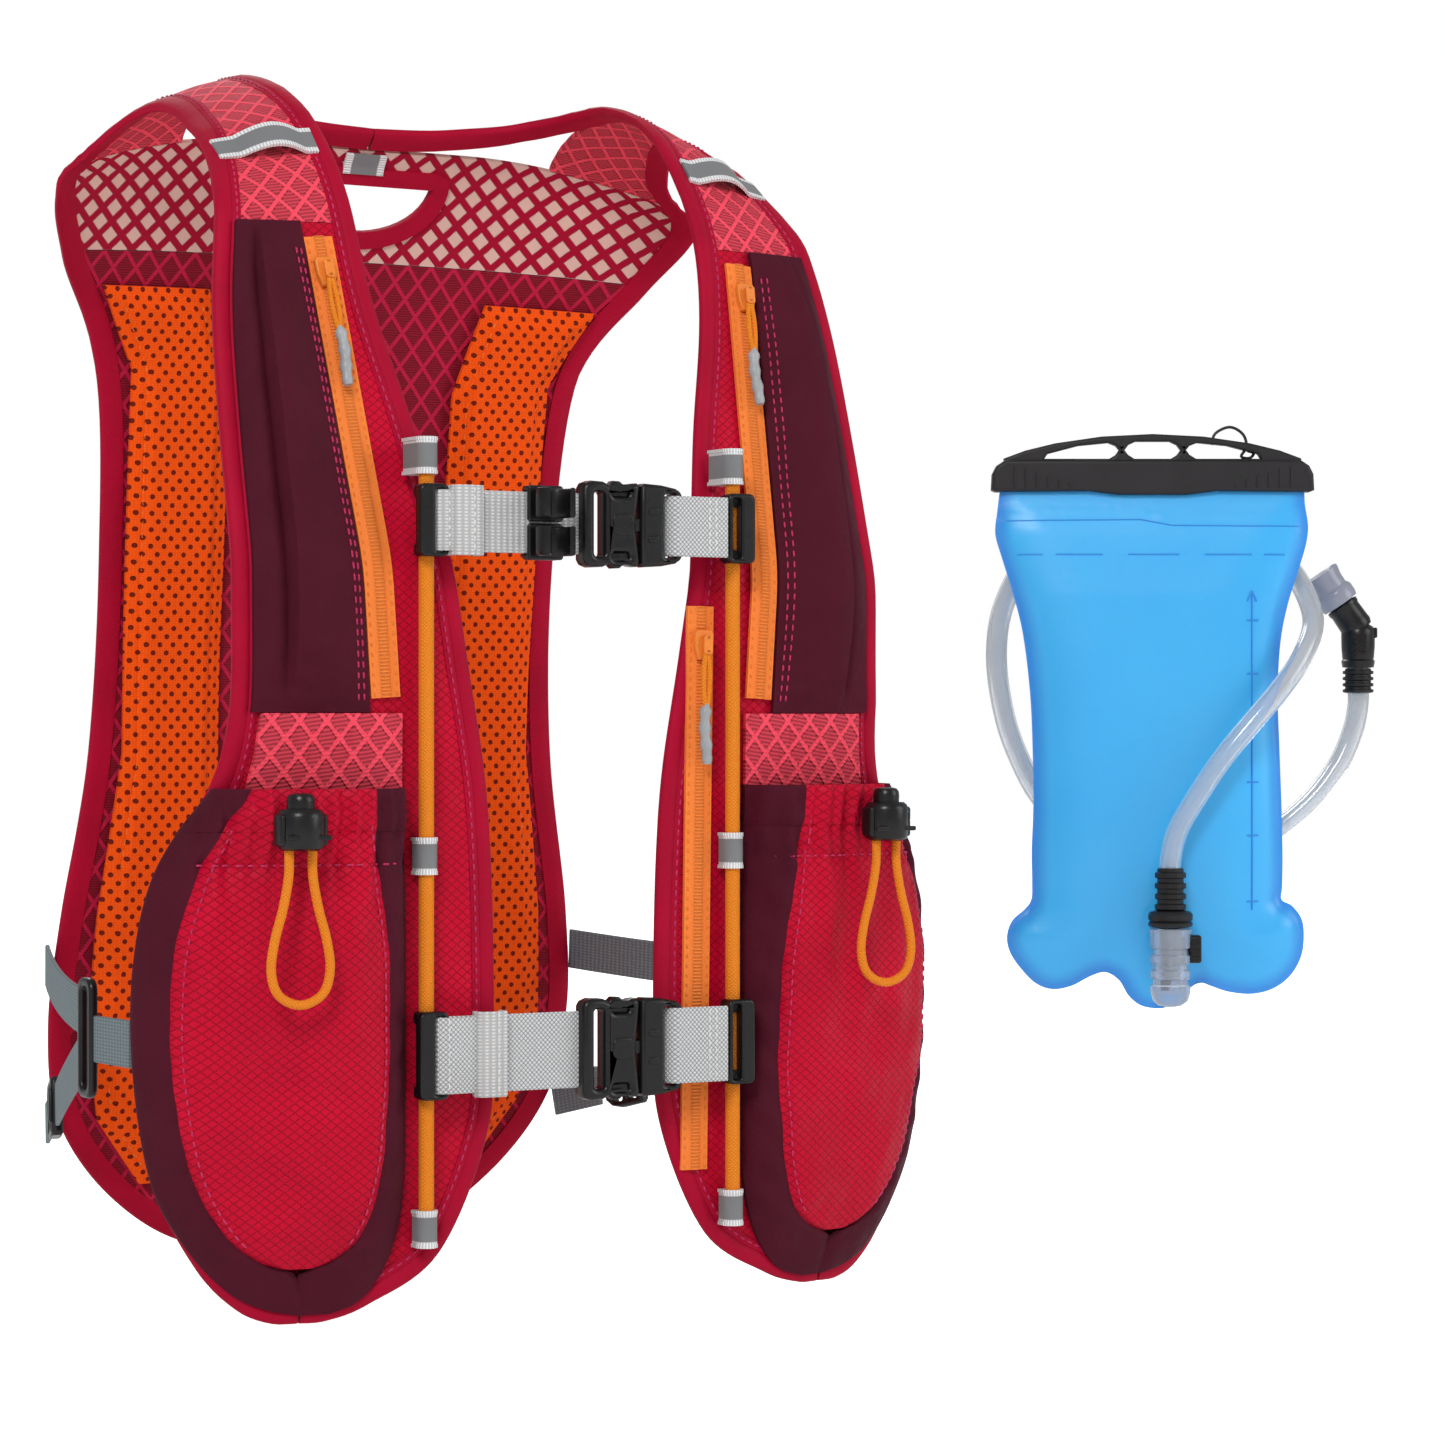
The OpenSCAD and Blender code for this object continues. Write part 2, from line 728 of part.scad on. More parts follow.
module ribbed_sleeve(h) {
    difference() {
        union() {
            cylinder(r = hose_d / 2 + 1.8, h = h, $fn = 40);
            for (k = [1:4]) translate([0, 0, k * h / 4 - 3]) cylinder(r = hose_d / 2 + 2.4, h = 2, $fn = 40);
        }
        translate([0, 0, -1]) cylinder(r = hose_d / 2 + fit, h = h + 2, $fn = 40);
    }
}

module hose_sleeves() {
    color("#1b1b1d")
        docked() {
            translate([port_x, port_y, plug_top + 0.2]) ribbed_sleeve(20);
            translate([mouth_x, mouth_y, mouth_z - 13]) ribbed_sleeve(12);
        }
}

module elbow() {
    color("#1b1b1d")
        docked()
            translate([mouth_x, mouth_y, mouth_z]) {
                cylinder(r = 7, h = 18, $fn = 40);
                translate([0, 0, 17.9]) rotate([0, -35, 0]) cylinder(r = 6.6, h = 14, $fn = 40);
            }
}

module bite_valve() {
    color("#d8e8f4")
        docked()
            translate([mouth_x, mouth_y, mouth_z + 17.9])
                rotate([0, -35, 0]) translate([0, 0, 14.2]) {
                    cylinder(r = 8.4, h = 6, $fn = 40);
                    translate([-8, -4.5, 6]) cube([16, 9, 12]);
                }
}

back_panel();
back_yoke();
haul_tab();
back_pads();
reservoir_sleeve();
front_panel(1);  // front_panel_left
front_panel(-1);  // front_panel_right
shoulder(1);  // shoulder_left
shoulder(-1);  // shoulder_right
chest_pocket(1);  // chest_pocket_left
chest_pocket(-1);  // chest_pocket_right
stretch_bands();
bottle_pocket(1);  // bottle_pocket_left
bottle_pocket(-1);  // bottle_pocket_right
zip_tapes();
rails();
rail_tabs();
hose_keepers();
binding_inner();
binding_outer();
side_strap(1);  // side_strap_left
side_strap(-1);  // side_strap_right
side_rings();
ladder_lock(1);  // ladder_lock_left
ladder_lock(-1);  // ladder_lock_right
zip_slider(upper_line, 1);  // zip_slider_left
zip_slider(upper_line, -1);  // zip_slider_right
zip_slider(lower_line, 1);  // zip_slider_lower
zip_pull(upper_line, 1);  // zip_pull_left
zip_pull(upper_line, -1);  // zip_pull_right
zip_pull(lower_line, 1);  // zip_pull_lower
rail_sliders(sternum_z, sternum_w);  // sternum_sliders
strap_web(sternum_z, sternum_w);  // sternum_web
buckle_socket(sternum_z, sternum_w);  // sternum_socket
buckle_plug(sternum_z, sternum_w);  // sternum_plug
plug_tail(sternum_z, sternum_w);  // sternum_tail
buckle_prong(sternum_z, sternum_w, 1);  // sternum_prong_top
buckle_prong(sternum_z, sternum_w, -1);  // sternum_prong_bottom
hose_clip();
rail_sliders(lower_z, lower_w);  // lower_sliders
strap_web(lower_z, lower_w);  // lower_web
buckle_socket(lower_z, lower_w);  // lower_socket
buckle_plug(lower_z, lower_w);  // lower_plug
plug_tail(lower_z, lower_w);  // lower_tail
buckle_prong(lower_z, lower_w, 1);  // lower_prong_top
buckle_prong(lower_z, lower_w, -1);  // lower_prong_bottom
cord_lock(1);  // cord_lock_left
cord_lock(-1);  // cord_lock_right
lock_button(1);  // lock_button_left
lock_button(-1);  // lock_button_right
lock_cords();
reservoir_bag();
slide_bar();
hose_port();
hose_plug();
release_button();
hose();
hose_sleeves();
elbow();
bite_valve();
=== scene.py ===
"""Looks of the hydration pack: cloth, meshes, zips, webbing, reservoir and hose over the CAD frame."""

import math

import bpy
import bmesh
import numpy as np
from mathutils import Euler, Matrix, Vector, geometry


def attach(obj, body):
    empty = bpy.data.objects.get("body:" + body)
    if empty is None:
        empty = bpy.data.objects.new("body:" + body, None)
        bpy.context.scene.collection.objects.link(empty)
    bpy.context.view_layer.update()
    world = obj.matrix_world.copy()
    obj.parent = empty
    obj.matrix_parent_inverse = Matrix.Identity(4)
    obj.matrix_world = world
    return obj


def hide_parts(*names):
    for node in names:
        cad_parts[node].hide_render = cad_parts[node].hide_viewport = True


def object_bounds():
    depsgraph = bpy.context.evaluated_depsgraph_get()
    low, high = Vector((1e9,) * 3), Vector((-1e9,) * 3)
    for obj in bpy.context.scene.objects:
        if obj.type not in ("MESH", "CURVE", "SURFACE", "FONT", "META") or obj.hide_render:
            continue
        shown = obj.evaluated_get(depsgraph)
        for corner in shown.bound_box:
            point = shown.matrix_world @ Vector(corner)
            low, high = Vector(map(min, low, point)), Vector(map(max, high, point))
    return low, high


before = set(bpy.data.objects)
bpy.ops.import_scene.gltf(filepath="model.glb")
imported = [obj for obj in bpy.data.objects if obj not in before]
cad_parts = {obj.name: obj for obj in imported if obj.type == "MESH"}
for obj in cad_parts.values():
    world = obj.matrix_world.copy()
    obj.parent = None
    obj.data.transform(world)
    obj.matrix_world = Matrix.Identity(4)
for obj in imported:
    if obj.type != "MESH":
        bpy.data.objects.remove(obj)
cad_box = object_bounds()

MM = 0.001
PI = math.pi

# ---------------------------------------------------------------- camera

VIEW_TURN = math.radians(-30)
VIEW_HEIGHT = -0.200
VIEW_SPOT = (-0.6056, -1.3169, VIEW_HEIGHT)


LENS_MM = 97.7
SENSOR_MM = 36


def add_camera():
    data = bpy.data.cameras.new("camera")
    data.lens = LENS_MM
    data.sensor_width = SENSOR_MM
    data.clip_start = 0.05
    data.clip_end = 20
    camera = bpy.data.objects.new("camera", data)
    camera.location = VIEW_SPOT
    camera.rotation_euler = (PI / 2, 0, VIEW_TURN)
    bpy.context.scene.collection.objects.link(camera)
    bpy.context.scene.camera = camera


add_camera()

# Routes of the cords, in mm: the hose beside the docked bag, and the loop below a cord lock.
HOSE_ROUTE = [(6, -23, -88), (6, -23, -76), (6, -23, -65), (9, -24, -51), (18, -25, -35),
              (30, -25, -17), (44, -24, 0), (58, -20, 16), (69, -12, 31), (76, 0, 47),
              (73.5, 12, 62.5), (65.5, 20, 76), (53, 23.5, 86), (38, 24.5, 91.5),
              (16, 24.5, 93), (-24, 24, 90), (-54, 23, 79),
              (-68, 22, 57), (-72, 21, 33), (-69, 21, 7), (-62, 21, -15), (-49, 22, -38),
              (-24, 24, -60), (13, 25, -69), (47, 25, -60), (74, 26, -42), (91, 28, -22),
              (99.4, 30, -4), (102, 30, 9), (102, 30, 19), (102, 30, 27)]
LOOP_ROUTE = [(-4, 0, 0), (-4.1, 0, -8), (-6, 0, -18), (-8.8, 0, -28), (-10, 0, -37.5), (-7.4, 0, -45),
              (0, 0, -48.2), (7.4, 0, -45), (10, 0, -37.5), (8.8, 0, -28), (6, 0, -18), (4.1, 0, -8),
              (4, 0, 0)]

# ---------------------------------------------------------------- curves and surfaces, in mm


def unit(v):
    """v at length 1."""
    return v / np.linalg.norm(v)


def run_of(line):
    """Distance along a line, at each of its points."""
    return np.concatenate([[0], np.cumsum(np.linalg.norm(np.diff(line, axis=0), axis=1))])


def span(a, b, c, d, steps):
    """Points from b towards c on the Catmull-Rom curve that passes a, b, c and d."""
    return [0.5 * (2 * b + (c - a) * t + (2 * a - 5 * b + 4 * c - d) * t * t + (3 * b - a - 3 * c + d) * t ** 3)
            for t in (k / steps for k in range(steps))]


def faired(points, steps):
    """Smooth curve through the points, as in the CAD model."""
    p = np.array(points, float)
    last = len(p) - 1
    out = []
    for i in range(last):
        out += span(p[max(i - 1, 0)], p[i], p[i + 1], p[min(i + 2, last)], steps)
    return np.array(out + [p[last]])


def closed_curve(points, steps):
    """The same curve round a closed outline."""
    p = np.array(points, float)
    n = len(p)
    return np.array([q for i in range(n)
                     for q in span(p[i - 1], p[i], p[(i + 1) % n], p[(i + 2) % n], steps)])


CORNERS = [(-169, -392), (-169, -150), (-134, -25), (-100, 14), (-50, 29), (-6, 15),
           (12, -45), (26, -150), (34, -270), (54, -405)]
EASE = [0, 8, 22, 22, 22, 20, 26, 40, 50, 0]
CURL = [(0, 0.0018), (160, 0.0018), (200, 0.0007), (366, 0.0007), (425, 0.004),
        (540, 0.004), (600, 0.0008), (940, 0.0008)]
FLAT_HALF = 40


def build_spine(steps=4):
    """Side view of the vest: a line with eased corners, and the distance along it."""
    c = np.array(CORNERS, float)
    pts = [c[0]]
    for i in range(1, len(c) - 1):
        back, ahead = unit(c[i - 1] - c[i]), unit(c[i + 1] - c[i])
        a, b = c[i] + back * EASE[i], c[i] + ahead * EASE[i]
        for k in range(steps + 1):
            t = k / steps
            pts.append((1 - t) ** 2 * a + 2 * t * (1 - t) * c[i] + t * t * b)
    pts.append(c[-1])
    pts = np.array(pts)
    run = run_of(pts)
    return pts, run


SPINE, RUN = build_spine()
PATH_L = RUN[-1]


def spot(h):
    """Y and Z of the side view at distance h."""
    return np.interp(h, RUN, SPINE[:, 0]), np.interp(h, RUN, SPINE[:, 1])


def normal(h, reach=7.0):
    """Direction out of the body at distance h, as Y and Z."""
    ya, za = spot(h + reach)
    yb, zb = spot(h - reach)
    ty, tz = ya - yb, za - zb
    size = np.sqrt(ty * ty + tz * tz)
    return -tz / size, ty / size


def table(points):
    """Function that reads a value off a line of (h, value) points."""
    p = np.array(points, float)
    return lambda h: np.interp(h, p[:, 0], p[:, 1])


curl_at = table(CURL)


def skin(x, h, o):
    """Point of the vest: x across, h along its side view, o outward from the body."""
    x, h, o = np.broadcast_arrays(np.asarray(x, float), np.asarray(h, float), np.asarray(o, float))
    y, z = spot(h)
    ny, nz = normal(h)
    d = o - curl_at(h) * np.maximum(np.abs(x) - FLAT_HALF, 0) ** 2
    return np.stack([x, y + ny * d, z + nz * d], axis=-1)


def inset(line, w, closed=False):
    """The same line moved sideways by w, positive to the right of the way it runs."""
    p = np.array(line, float)
    t = np.roll(p, -1, axis=0) - np.roll(p, 1, axis=0) if closed else np.gradient(p, axis=0)
    t /= np.linalg.norm(t, axis=1)[:, None]
    return p + np.outer(np.broadcast_to(w, len(p)), [1, 1]) * np.stack([-t[:, 1], t[:, 0]], axis=1)


CHEST_EDGE = [(0, 96.6), (0.4, 88), (5, 74), (20, 50), (56, 33), (90, 30), (162, 32), (215, 40), (286, 52),
              (340, 63), (400, 66), (460, 69), (485, 66), (502, 52), (509, 28), (511, 0.2)]
ARM_EDGE = [(0, 97.4), (0.4, 106), (5, 116), (18, 128), (45, 141), (80, 146), (115, 146), (145, 138),
            (182, 122), (242, 120), (290, 119), (330, 117), (365, 112), (400, 106), (460, 103),
            (500, 113), (535, 127), (565, 117), (605, 97), (675, 92), (745, 94), (805, 103),
            (845, 106), (880, 100), (910, 78), (930, 46), (935, 0.2)]
BINDING_W = 8.5
CLOTH_T = 2.2
# Seams of the vest, as distances along its side view from the front hem.
POCKET_TOP = 170
BAND_TOP = 195
SHOULDER_SEAM = 360
YOKE_SEAM = 520
BACK_SEAM = 562
ZIP_UPPER = [(200, 69.5), (354, 79.5)]
ZIP_LOWER = [(42, 44), (231, 46.5)]

CHEST_LINE = faired(CHEST_EDGE, 10)
ARM_LINE = faired(ARM_EDGE, 10)


def between(line, h0, h1):
    """The part of a line from h0 to h1."""
    return line[(line[:, 0] >= h0) & (line[:, 0] <= h1)]


def seam_of(line, w, h0, h1):
    """Where the cloth ends beside a binding: x for each h."""
    pts = between(inset(line, w), h0, h1)
    return table(pts[np.argsort(pts[:, 0])])


chest_seam = seam_of(CHEST_LINE[8:], BINDING_W - 1.5, 6, 492)
arm_seam = seam_of(ARM_LINE[8:], 1.5 - BINDING_W, 6, 960)


def resampled(line, step):
    """Points every step mm along a line."""
    line = np.array(line, float)
    run = run_of(line)
    count = max(int(round(run[-1] / step)), 1)
    s = np.linspace(0, run[-1], count + 1)
    return np.stack([np.interp(s, run, line[:, k]) for k in range(line.shape[1])], axis=1)


# ---------------------------------------------------------------- mesh making


def add_mesh(name, verts, faces, material=None, uvs=None, smooth=True, angle=None):
    """New object from points in mm; uvs is one (u, v) per point, in mm too."""
    mesh = bpy.data.meshes.new(name)
    mesh.from_pydata((np.asarray(verts, float) * MM).tolist(), [], [list(map(int, f)) for f in faces])
    if uvs is not None:
        layer = mesh.uv_layers.new(name="UVMap")
        index = np.empty(len(mesh.loops), int)
        mesh.loops.foreach_get("vertex_index", index)
        layer.data.foreach_set("uv", (np.asarray(uvs, float)[index] * MM).ravel())
    if smooth:
        mesh.polygons.foreach_set("use_smooth", np.ones(len(mesh.polygons), bool))
    mesh.update()
    if angle:
        mesh.set_sharp_from_angle(angle=math.radians(angle))
    obj = bpy.data.objects.new(name, mesh)
    bpy.context.scene.collection.objects.link(obj)
    if material:
        mesh.materials.append(material)
    return obj


def tidy(obj):
    """Make a mesh's faces agree and look outward."""
    bm = bmesh.new()
    bm.from_mesh(obj.data)
    bmesh.ops.recalc_face_normals(bm, faces=bm.faces)
    bm.to_mesh(obj.data)
    bm.free()
    return obj


def mirror_x(points):
    """The points on the vest's other side."""
    p = np.array(points, float)
    p[..., 0] *= -1
    return p


def shell(name, outer, inner, uv, material, side=1, drop=None, angle=40):
    """Closed cloth between two grids of points (rows x cols x 3); drop marks removed cells."""
    rows, cols = outer.shape[0] - 1, outer.shape[1] - 1
    count = (rows + 1) * (cols + 1)
    keep = np.ones((rows, cols), bool) if drop is None else ~drop
    at = lambda i, j: i * (cols + 1) + j
    faces = []
    for i in range(rows):
        for j in range(cols):
            if not keep[i, j]:
                continue
            q = (at(i, j), at(i, j + 1), at(i + 1, j + 1), at(i + 1, j))
            faces.append(q)
            faces.append(tuple(count + k for k in reversed(q)))
            for di, dj, a, b in ((-1, 0, 0, 1), (0, 1, 1, 2), (1, 0, 2, 3), (0, -1, 3, 0)):
                m, n = i + di, j + dj
                if not (0 <= m < rows and 0 <= n < cols) or not keep[m, n]:
                    faces.append((q[b], q[a], count + q[a], count + q[b]))
    pts = np.concatenate([outer.reshape(-1, 3), inner.reshape(-1, 3)])
    uvs = np.concatenate([uv.reshape(-1, 2), uv.reshape(-1, 2)])
    if side < 0:
        pts = mirror_x(pts)
    used = sorted({k for f in faces for k in f})
    place = {k: n for n, k in enumerate(used)}
    faces = [tuple(place[k] for k in f) for f in faces]
    obj = add_mesh(name, pts[used], faces, material, uvs[used], angle=angle)
    return tidy(obj)


def swell(u, v, open_top):
    """1 over most of a panel, falling to 0 at its sewn edges."""
    rise = 1 - (1 - v) ** 3 if open_top else 1 - np.abs(2 * v - 1) ** 4
    return (1 - np.abs(2 * u - 1) ** 3) * rise


def patch(name, h0, h1, left, right, offset, thick, material, side=1, cell=2.6, drop=None, wrap=None):
    """Closed cloth between two edges of the vest's surface. offset(u, v, x, h) gives its outer face."""
    width = max(abs(right(t) - left(t)) for t in np.linspace(h0, h1, 9))
    rows, cols = max(int(abs(h1 - h0) / cell), 3), max(int(width / cell), 4)
    v, u = np.meshgrid(np.linspace(0, 1, rows + 1), np.linspace(0, 1, cols + 1), indexing="ij")
    h = h0 + (h1 - h0) * v
    a, b = left(h), right(h)
    x = a + (b - a) * u
    o = offset(u, v, x, h)
    outer = skin(x, h, o)
    inner = skin(x, h, o - (thick(u, v, x, h) if callable(thick) else thick))
    gone = None
    if drop:
        mid = lambda g: 0.25 * (g[1:, 1:] + g[:-1, 1:] + g[1:, :-1] + g[:-1, :-1])
        gone = drop(mid(x), mid(outer[..., 2]))
    uv = np.stack(wrap(u, v, x, h) if wrap else (x, h), axis=-1)
    return shell(name, outer, inner, uv, material, side, gone)


def ring_quads(rows, sides, closed=False):
    """Faces between rows of points, each row a ring; closed also joins the last row to the first."""
    faces = []
    for i in range(rows if closed else rows - 1):
        here, ahead = i * sides, (i + 1) % rows * sides
        faces += [(here + k, here + (k + 1) % sides, ahead + (k + 1) % sides, ahead + k)
                  for k in range(sides)]
    return faces


def ring_ends(rows, sides):
    """The two faces that close such a skin."""
    return [tuple(reversed(range(sides))), tuple((rows - 1) * sides + k for k in range(sides))]


def sweep(name, line, profile, material, side=1, closed=False, angle=50):
    """Strip with a closed (w, o) cross-section, swept along a line of (h, x) points."""
    line = np.array(line, float)
    prof = np.array(profile, float)
    n, m = len(line), len(prof)
    run = run_of(line)
    pts, uvs = [], []
    for w, o in prof:
        moved = inset(line, w, closed)
        pts.append(skin(moved[:, 1], moved[:, 0], o))
        uvs.append(np.stack([np.full(n, w), run], axis=1))
    pts = np.stack(pts, axis=1).reshape(-1, 3)
    uvs = np.stack(uvs, axis=1).reshape(-1, 2)
    if side < 0:
        pts = mirror_x(pts)
    faces = ring_quads(n, m, closed) + ([] if closed else ring_ends(n, m))
    return tidy(add_mesh(name, pts, faces, material, uvs, angle=angle))


def tube_mesh(route, radius, sides=12, cap=True, ref=(0, 1, 0)):
    """Points and faces of a round tube along points in mm; radius is a number or one per point."""
    route = np.array(route, float)
    n = len(route)
    r = np.broadcast_to(radius, n)
    t = np.gradient(route, axis=0)
    t /= np.linalg.norm(t, axis=1)[:, None]
    a = np.cross(t, np.array(ref, float))
    a /= np.maximum(np.linalg.norm(a, axis=1), 1e-6)[:, None]
    b = np.cross(t, a)
    q = np.linspace(0, 2 * PI, sides, endpoint=False)
    pts = (route[:, None] + r[:, None, None] * (np.cos(q)[None, :, None] * a[:, None]
                                                + np.sin(q)[None, :, None] * b[:, None]))
    run = run_of(route)
    uv = np.stack(np.broadcast_arrays(q[None, :] * r.mean(), run[:, None]), axis=-1)
    faces = ring_quads(n, sides) + (ring_ends(n, sides) if cap else [])
    return pts.reshape(-1, 3), faces, uv.reshape(-1, 2)


def join_parts(name, parts, material, angle=40):
    """One object from several (points, faces, uvs) sets."""
    verts, faces, uvs, base = [], [], [], 0
    for pts, fcs, uv in parts:
        verts.append(np.asarray(pts))
        uvs.append(np.asarray(uv) if uv is not None else np.zeros((len(pts), 2)))
        faces += [tuple(k + base for k in f) for f in fcs]
        base += len(pts)
    return add_mesh(name, np.concatenate(verts), faces, material, np.concatenate(uvs), True, angle)


STITCH_W = 0.7
STITCH_L = 2.4


def stitch_dash(a, b, out):
    """A thread dash from a to b, standing a little proud along out: a six-point bead."""
    axis = b - a
    side = unit(np.cross(axis, out)) * STITCH_W / 2
    rise = unit(out) * STITCH_W * 0.45
    mid = 0.5 * (a + b)
    pts = [a - rise * 0.6, mid - side, mid + side, b - rise * 0.6, mid + rise * 1.4,
           a * 0.75 + b * 0.25 - side + rise * 0.4, a * 0.75 + b * 0.25 + side + rise * 0.4,
           a * 0.25 + b * 0.75 - side + rise * 0.4, a * 0.25 + b * 0.75 + side + rise * 0.4]
    faces = [(0, 6, 5), (5, 6, 4), (4, 8, 7), (7, 8, 3), (5, 4, 1), (6, 2, 4), (7, 1, 4), (8, 4, 2),
             (0, 5, 1), (0, 2, 6), (3, 1, 7), (3, 8, 2), (0, 1, 2), (3, 2, 1)]
    return pts, faces, None


def seam_dashes(line, o, side, step):
    """Thread dashes along a line of (h, x) points, at o outward."""
    pts = resampled(line, step)
    mids = []
    flip = np.array([side, 1, 1])
    for a, b in zip(pts[:-1], pts[1:]):
        d = (b - a) / np.linalg.norm(b - a) * STITCH_L
        off = o(a[1], a[0]) if callable(o) else o
        p = skin(a[1], a[0], off) * flip
        q = skin(a[1] + d[1], a[0] + d[0], off) * flip
        up = skin(a[1], a[0], off + 1) * flip - p
        mids.append(stitch_dash(p, q, up))
    return mids


def ride(obj, body, nodes=()):
    """Put a piece on its body and the CAD nodes that it replaces."""
    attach(obj, body)
    if nodes:
        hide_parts(*nodes)
    return obj


def sew(name, runs, o, thread, side=1, step=3.4):
    """Stitches on the vest, along runs of (h, x) points, at o outward."""
    dashes = [d for r in runs for d in seam_dashes(r, o, side, step)]
    ride(join_parts(name, dashes, thread), "vest")

# ---------------------------------------------------------------- materials


class Look:
    """A Principled material and the short calls that build its pattern."""

    def __init__(self, name, color, rough, **sockets):
        self.mat = bpy.data.materials.new(name)
        self.mat.use_nodes = True
        self.tree = self.mat.node_tree
        self.bsdf = self.tree.nodes["Principled BSDF"]
        self.bsdf.inputs["Base Color"].default_value = (*color, 1)
        self.bsdf.inputs["Roughness"].default_value = rough
        for key, value in sockets.items():
            self.bsdf.inputs[key.replace("_", " ")].default_value = value
        self.mat.diffuse_color = (*color, 1)
        self.u = self.v = None

    def node(self, kind, **props):
        made = self.tree.nodes.new(kind)
        for key, value in props.items():
            setattr(made, key, value)
        return made

    def put(self, socket, value):
        if isinstance(value, bpy.types.NodeSocket):
            self.tree.links.new(value, socket)
        else:
            socket.default_value = value

    def math(self, op, a, b=0.0, c=0.0):
        made = self.node("ShaderNodeMath", operation=op)
        for socket, value in zip(made.inputs, (a, b, c)):
            self.put(socket, value)
        return made.outputs[0]

    def use(self, coordinates, first, second):
        """Take u and v in mm from the mesh's UV map or from the frame's own axes."""
        coords = self.node("ShaderNodeTexCoord")
        split = self.node("ShaderNodeSeparateXYZ")
        self.put(split.inputs[0], coords.outputs[coordinates])
        self.u = self.math("MULTIPLY", split.outputs[first], 1000)
        self.v = self.math("MULTIPLY", split.outputs[second], 1000)

    def saw(self, value, pitch):
        """0 at the middle of each cell and 1 at its edge."""
        cell = self.math("PINGPONG", self.math("DIVIDE", value, pitch), 0.5)
        return self.math("MULTIPLY", cell, 2)

    def wave(self, value, pitch):
        turn = self.math("MULTIPLY", value, 2 * PI / pitch)
        return self.math("MULTIPLY_ADD", self.math("SINE", turn), 0.5, 0.5)

    def weave(self, across, along):
        """Threads at right angles, at these pitches."""
        return self.math("MULTIPLY", self.wave(self.u, across), self.wave(self.v, along))

    def braid(self, pitch):
        """Threads that cross at a slant."""
        up, down = self.math("ADD", self.u, self.v), self.math("SUBTRACT", self.u, self.v)
        return self.math("MULTIPLY", self.wave(up, pitch), self.wave(down, pitch))

    def lattice(self, wide, tall):
        """Two crossing sets of lines: 1 on a line, 0 in the middle of a diamond."""
        a, b = self.math("DIVIDE", self.u, wide), self.math("DIVIDE", self.v, tall)
        up = self.saw(self.math("ADD", a, b), 1)
        down = self.saw(self.math("SUBTRACT", a, b), 1)
        return self.math("MAXIMUM", up, down)

    def step(self, value, low, high):
        made = self.node("ShaderNodeMapRange", interpolation_type="SMOOTHSTEP")
        self.put(made.inputs["Value"], value)
        made.inputs["From Min"].default_value = low
        made.inputs["From Max"].default_value = high
        return made.outputs["Result"]

    def dots(self, pitch, rise, radius):
        """Staggered round holes: 1 inside a hole."""
        reach = []
        for shift in (0.0, 0.5):
            squares = []
            for value, size in ((self.u, pitch), (self.v, rise)):
                part = self.math("FRACT", self.math("ADD", self.math("DIVIDE", value, size), shift))
                apart = self.math("MULTIPLY", self.math("SUBTRACT", part, 0.5), size)
                squares.append(self.math("POWER", apart, 2))
            reach.append(self.math("SQRT", self.math("ADD", *squares)))
        return self.step(self.math("MINIMUM", *reach), radius, radius * 0.72)

    def noise(self, scale, detail=3.0):
        coords = self.node("ShaderNodeTexCoord")
        made = self.node("ShaderNodeTexNoise")
        self.put(made.inputs["Vector"], coords.outputs["Object"])
        made.inputs["Scale"].default_value = scale
        made.inputs["Detail"].default_value = detail
        return made.outputs["Fac"]

    def mix(self, factor, a, b):
        made = self.node("ShaderNodeMix", data_type="RGBA")
        self.put(made.inputs[0], factor)
        for socket, value in ((made.inputs[6], a), (made.inputs[7], b)):
            self.put(socket, (*value, 1) if isinstance(value, tuple) else value)
        return made.outputs[2]

    def color(self, value):
        self.put(self.bsdf.inputs["Base Color"], value)
        return self

    def tint(self, factor, color, dark, light):
        """Colour between two shades of color."""
        return self.color(self.mix(factor, shade(color, dark), shade(color, light)))

    def rough(self, value):
        self.put(self.bsdf.inputs["Roughness"], value)
        return self

    def bump(self, height, distance, strength=1.0):
        made = self.node("ShaderNodeBump")
        made.inputs["Strength"].default_value = strength
        made.inputs["Distance"].default_value = distance
        self.put(made.inputs["Height"], height)
        old = self.bsdf.inputs["Normal"]
        if old.is_linked:
            self.put(made.inputs["Normal"], old.links[0].from_socket)
        self.put(old, made.outputs[0])
        return self


def shade(color, factor):
    """The colour made darker or lighter."""
    return tuple(min(c * factor, 1.0) for c in color)


CRIMSON = (0.53, 0.0012, 0.026)
BINDING = (0.36, 0.001, 0.024)
MAROON = (0.070, 0.005, 0.016)
CORAL = (0.80, 0.065, 0.105)
ORANGE = (0.95, 0.095, 0.004)
TAPE = (0.95, 0.24, 0.045)
CORD = (0.98, 0.28, 0.02)
WEB = (0.55, 0.56, 0.57)
SLATE = (0.20, 0.25, 0.27)


def cloth(name, color, rough=0.75, **sockets):
    look = Look(name, color, rough, Sheen_Weight=0.02, Sheen_Roughness=0.4, Specular_IOR_Level=0.11,
                **sockets)
    look.use("UV", "X", "Y")
    return look


def mottled(look, color, spread=0.16, scale=60):
    """Uneven dye."""
    return look.mix(look.noise(scale), shade(color, 1 - spread), shade(color, 1 + spread))


def ripstop_look():
    look = cloth("ripstop", CRIMSON, 0.5)
    lines = look.step(look.lattice(3.8, 3.0), 0.78, 0.95)
    base = mottled(look, CRIMSON, 0.26, 26)
    look.color(look.mix(look.math("MULTIPLY", lines, 0.7), base, shade(CRIMSON, 0.5)))
    look.bump(look.noise(20, 3), 0.014, 0.6)
    look.bump(look.noise(80, 4), 0.0022, 0.5)
    look.bump(lines, 0.0002, 0.8)
    return look.bump(look.weave(0.7, 0.7), 0.00006, 0.5).mat


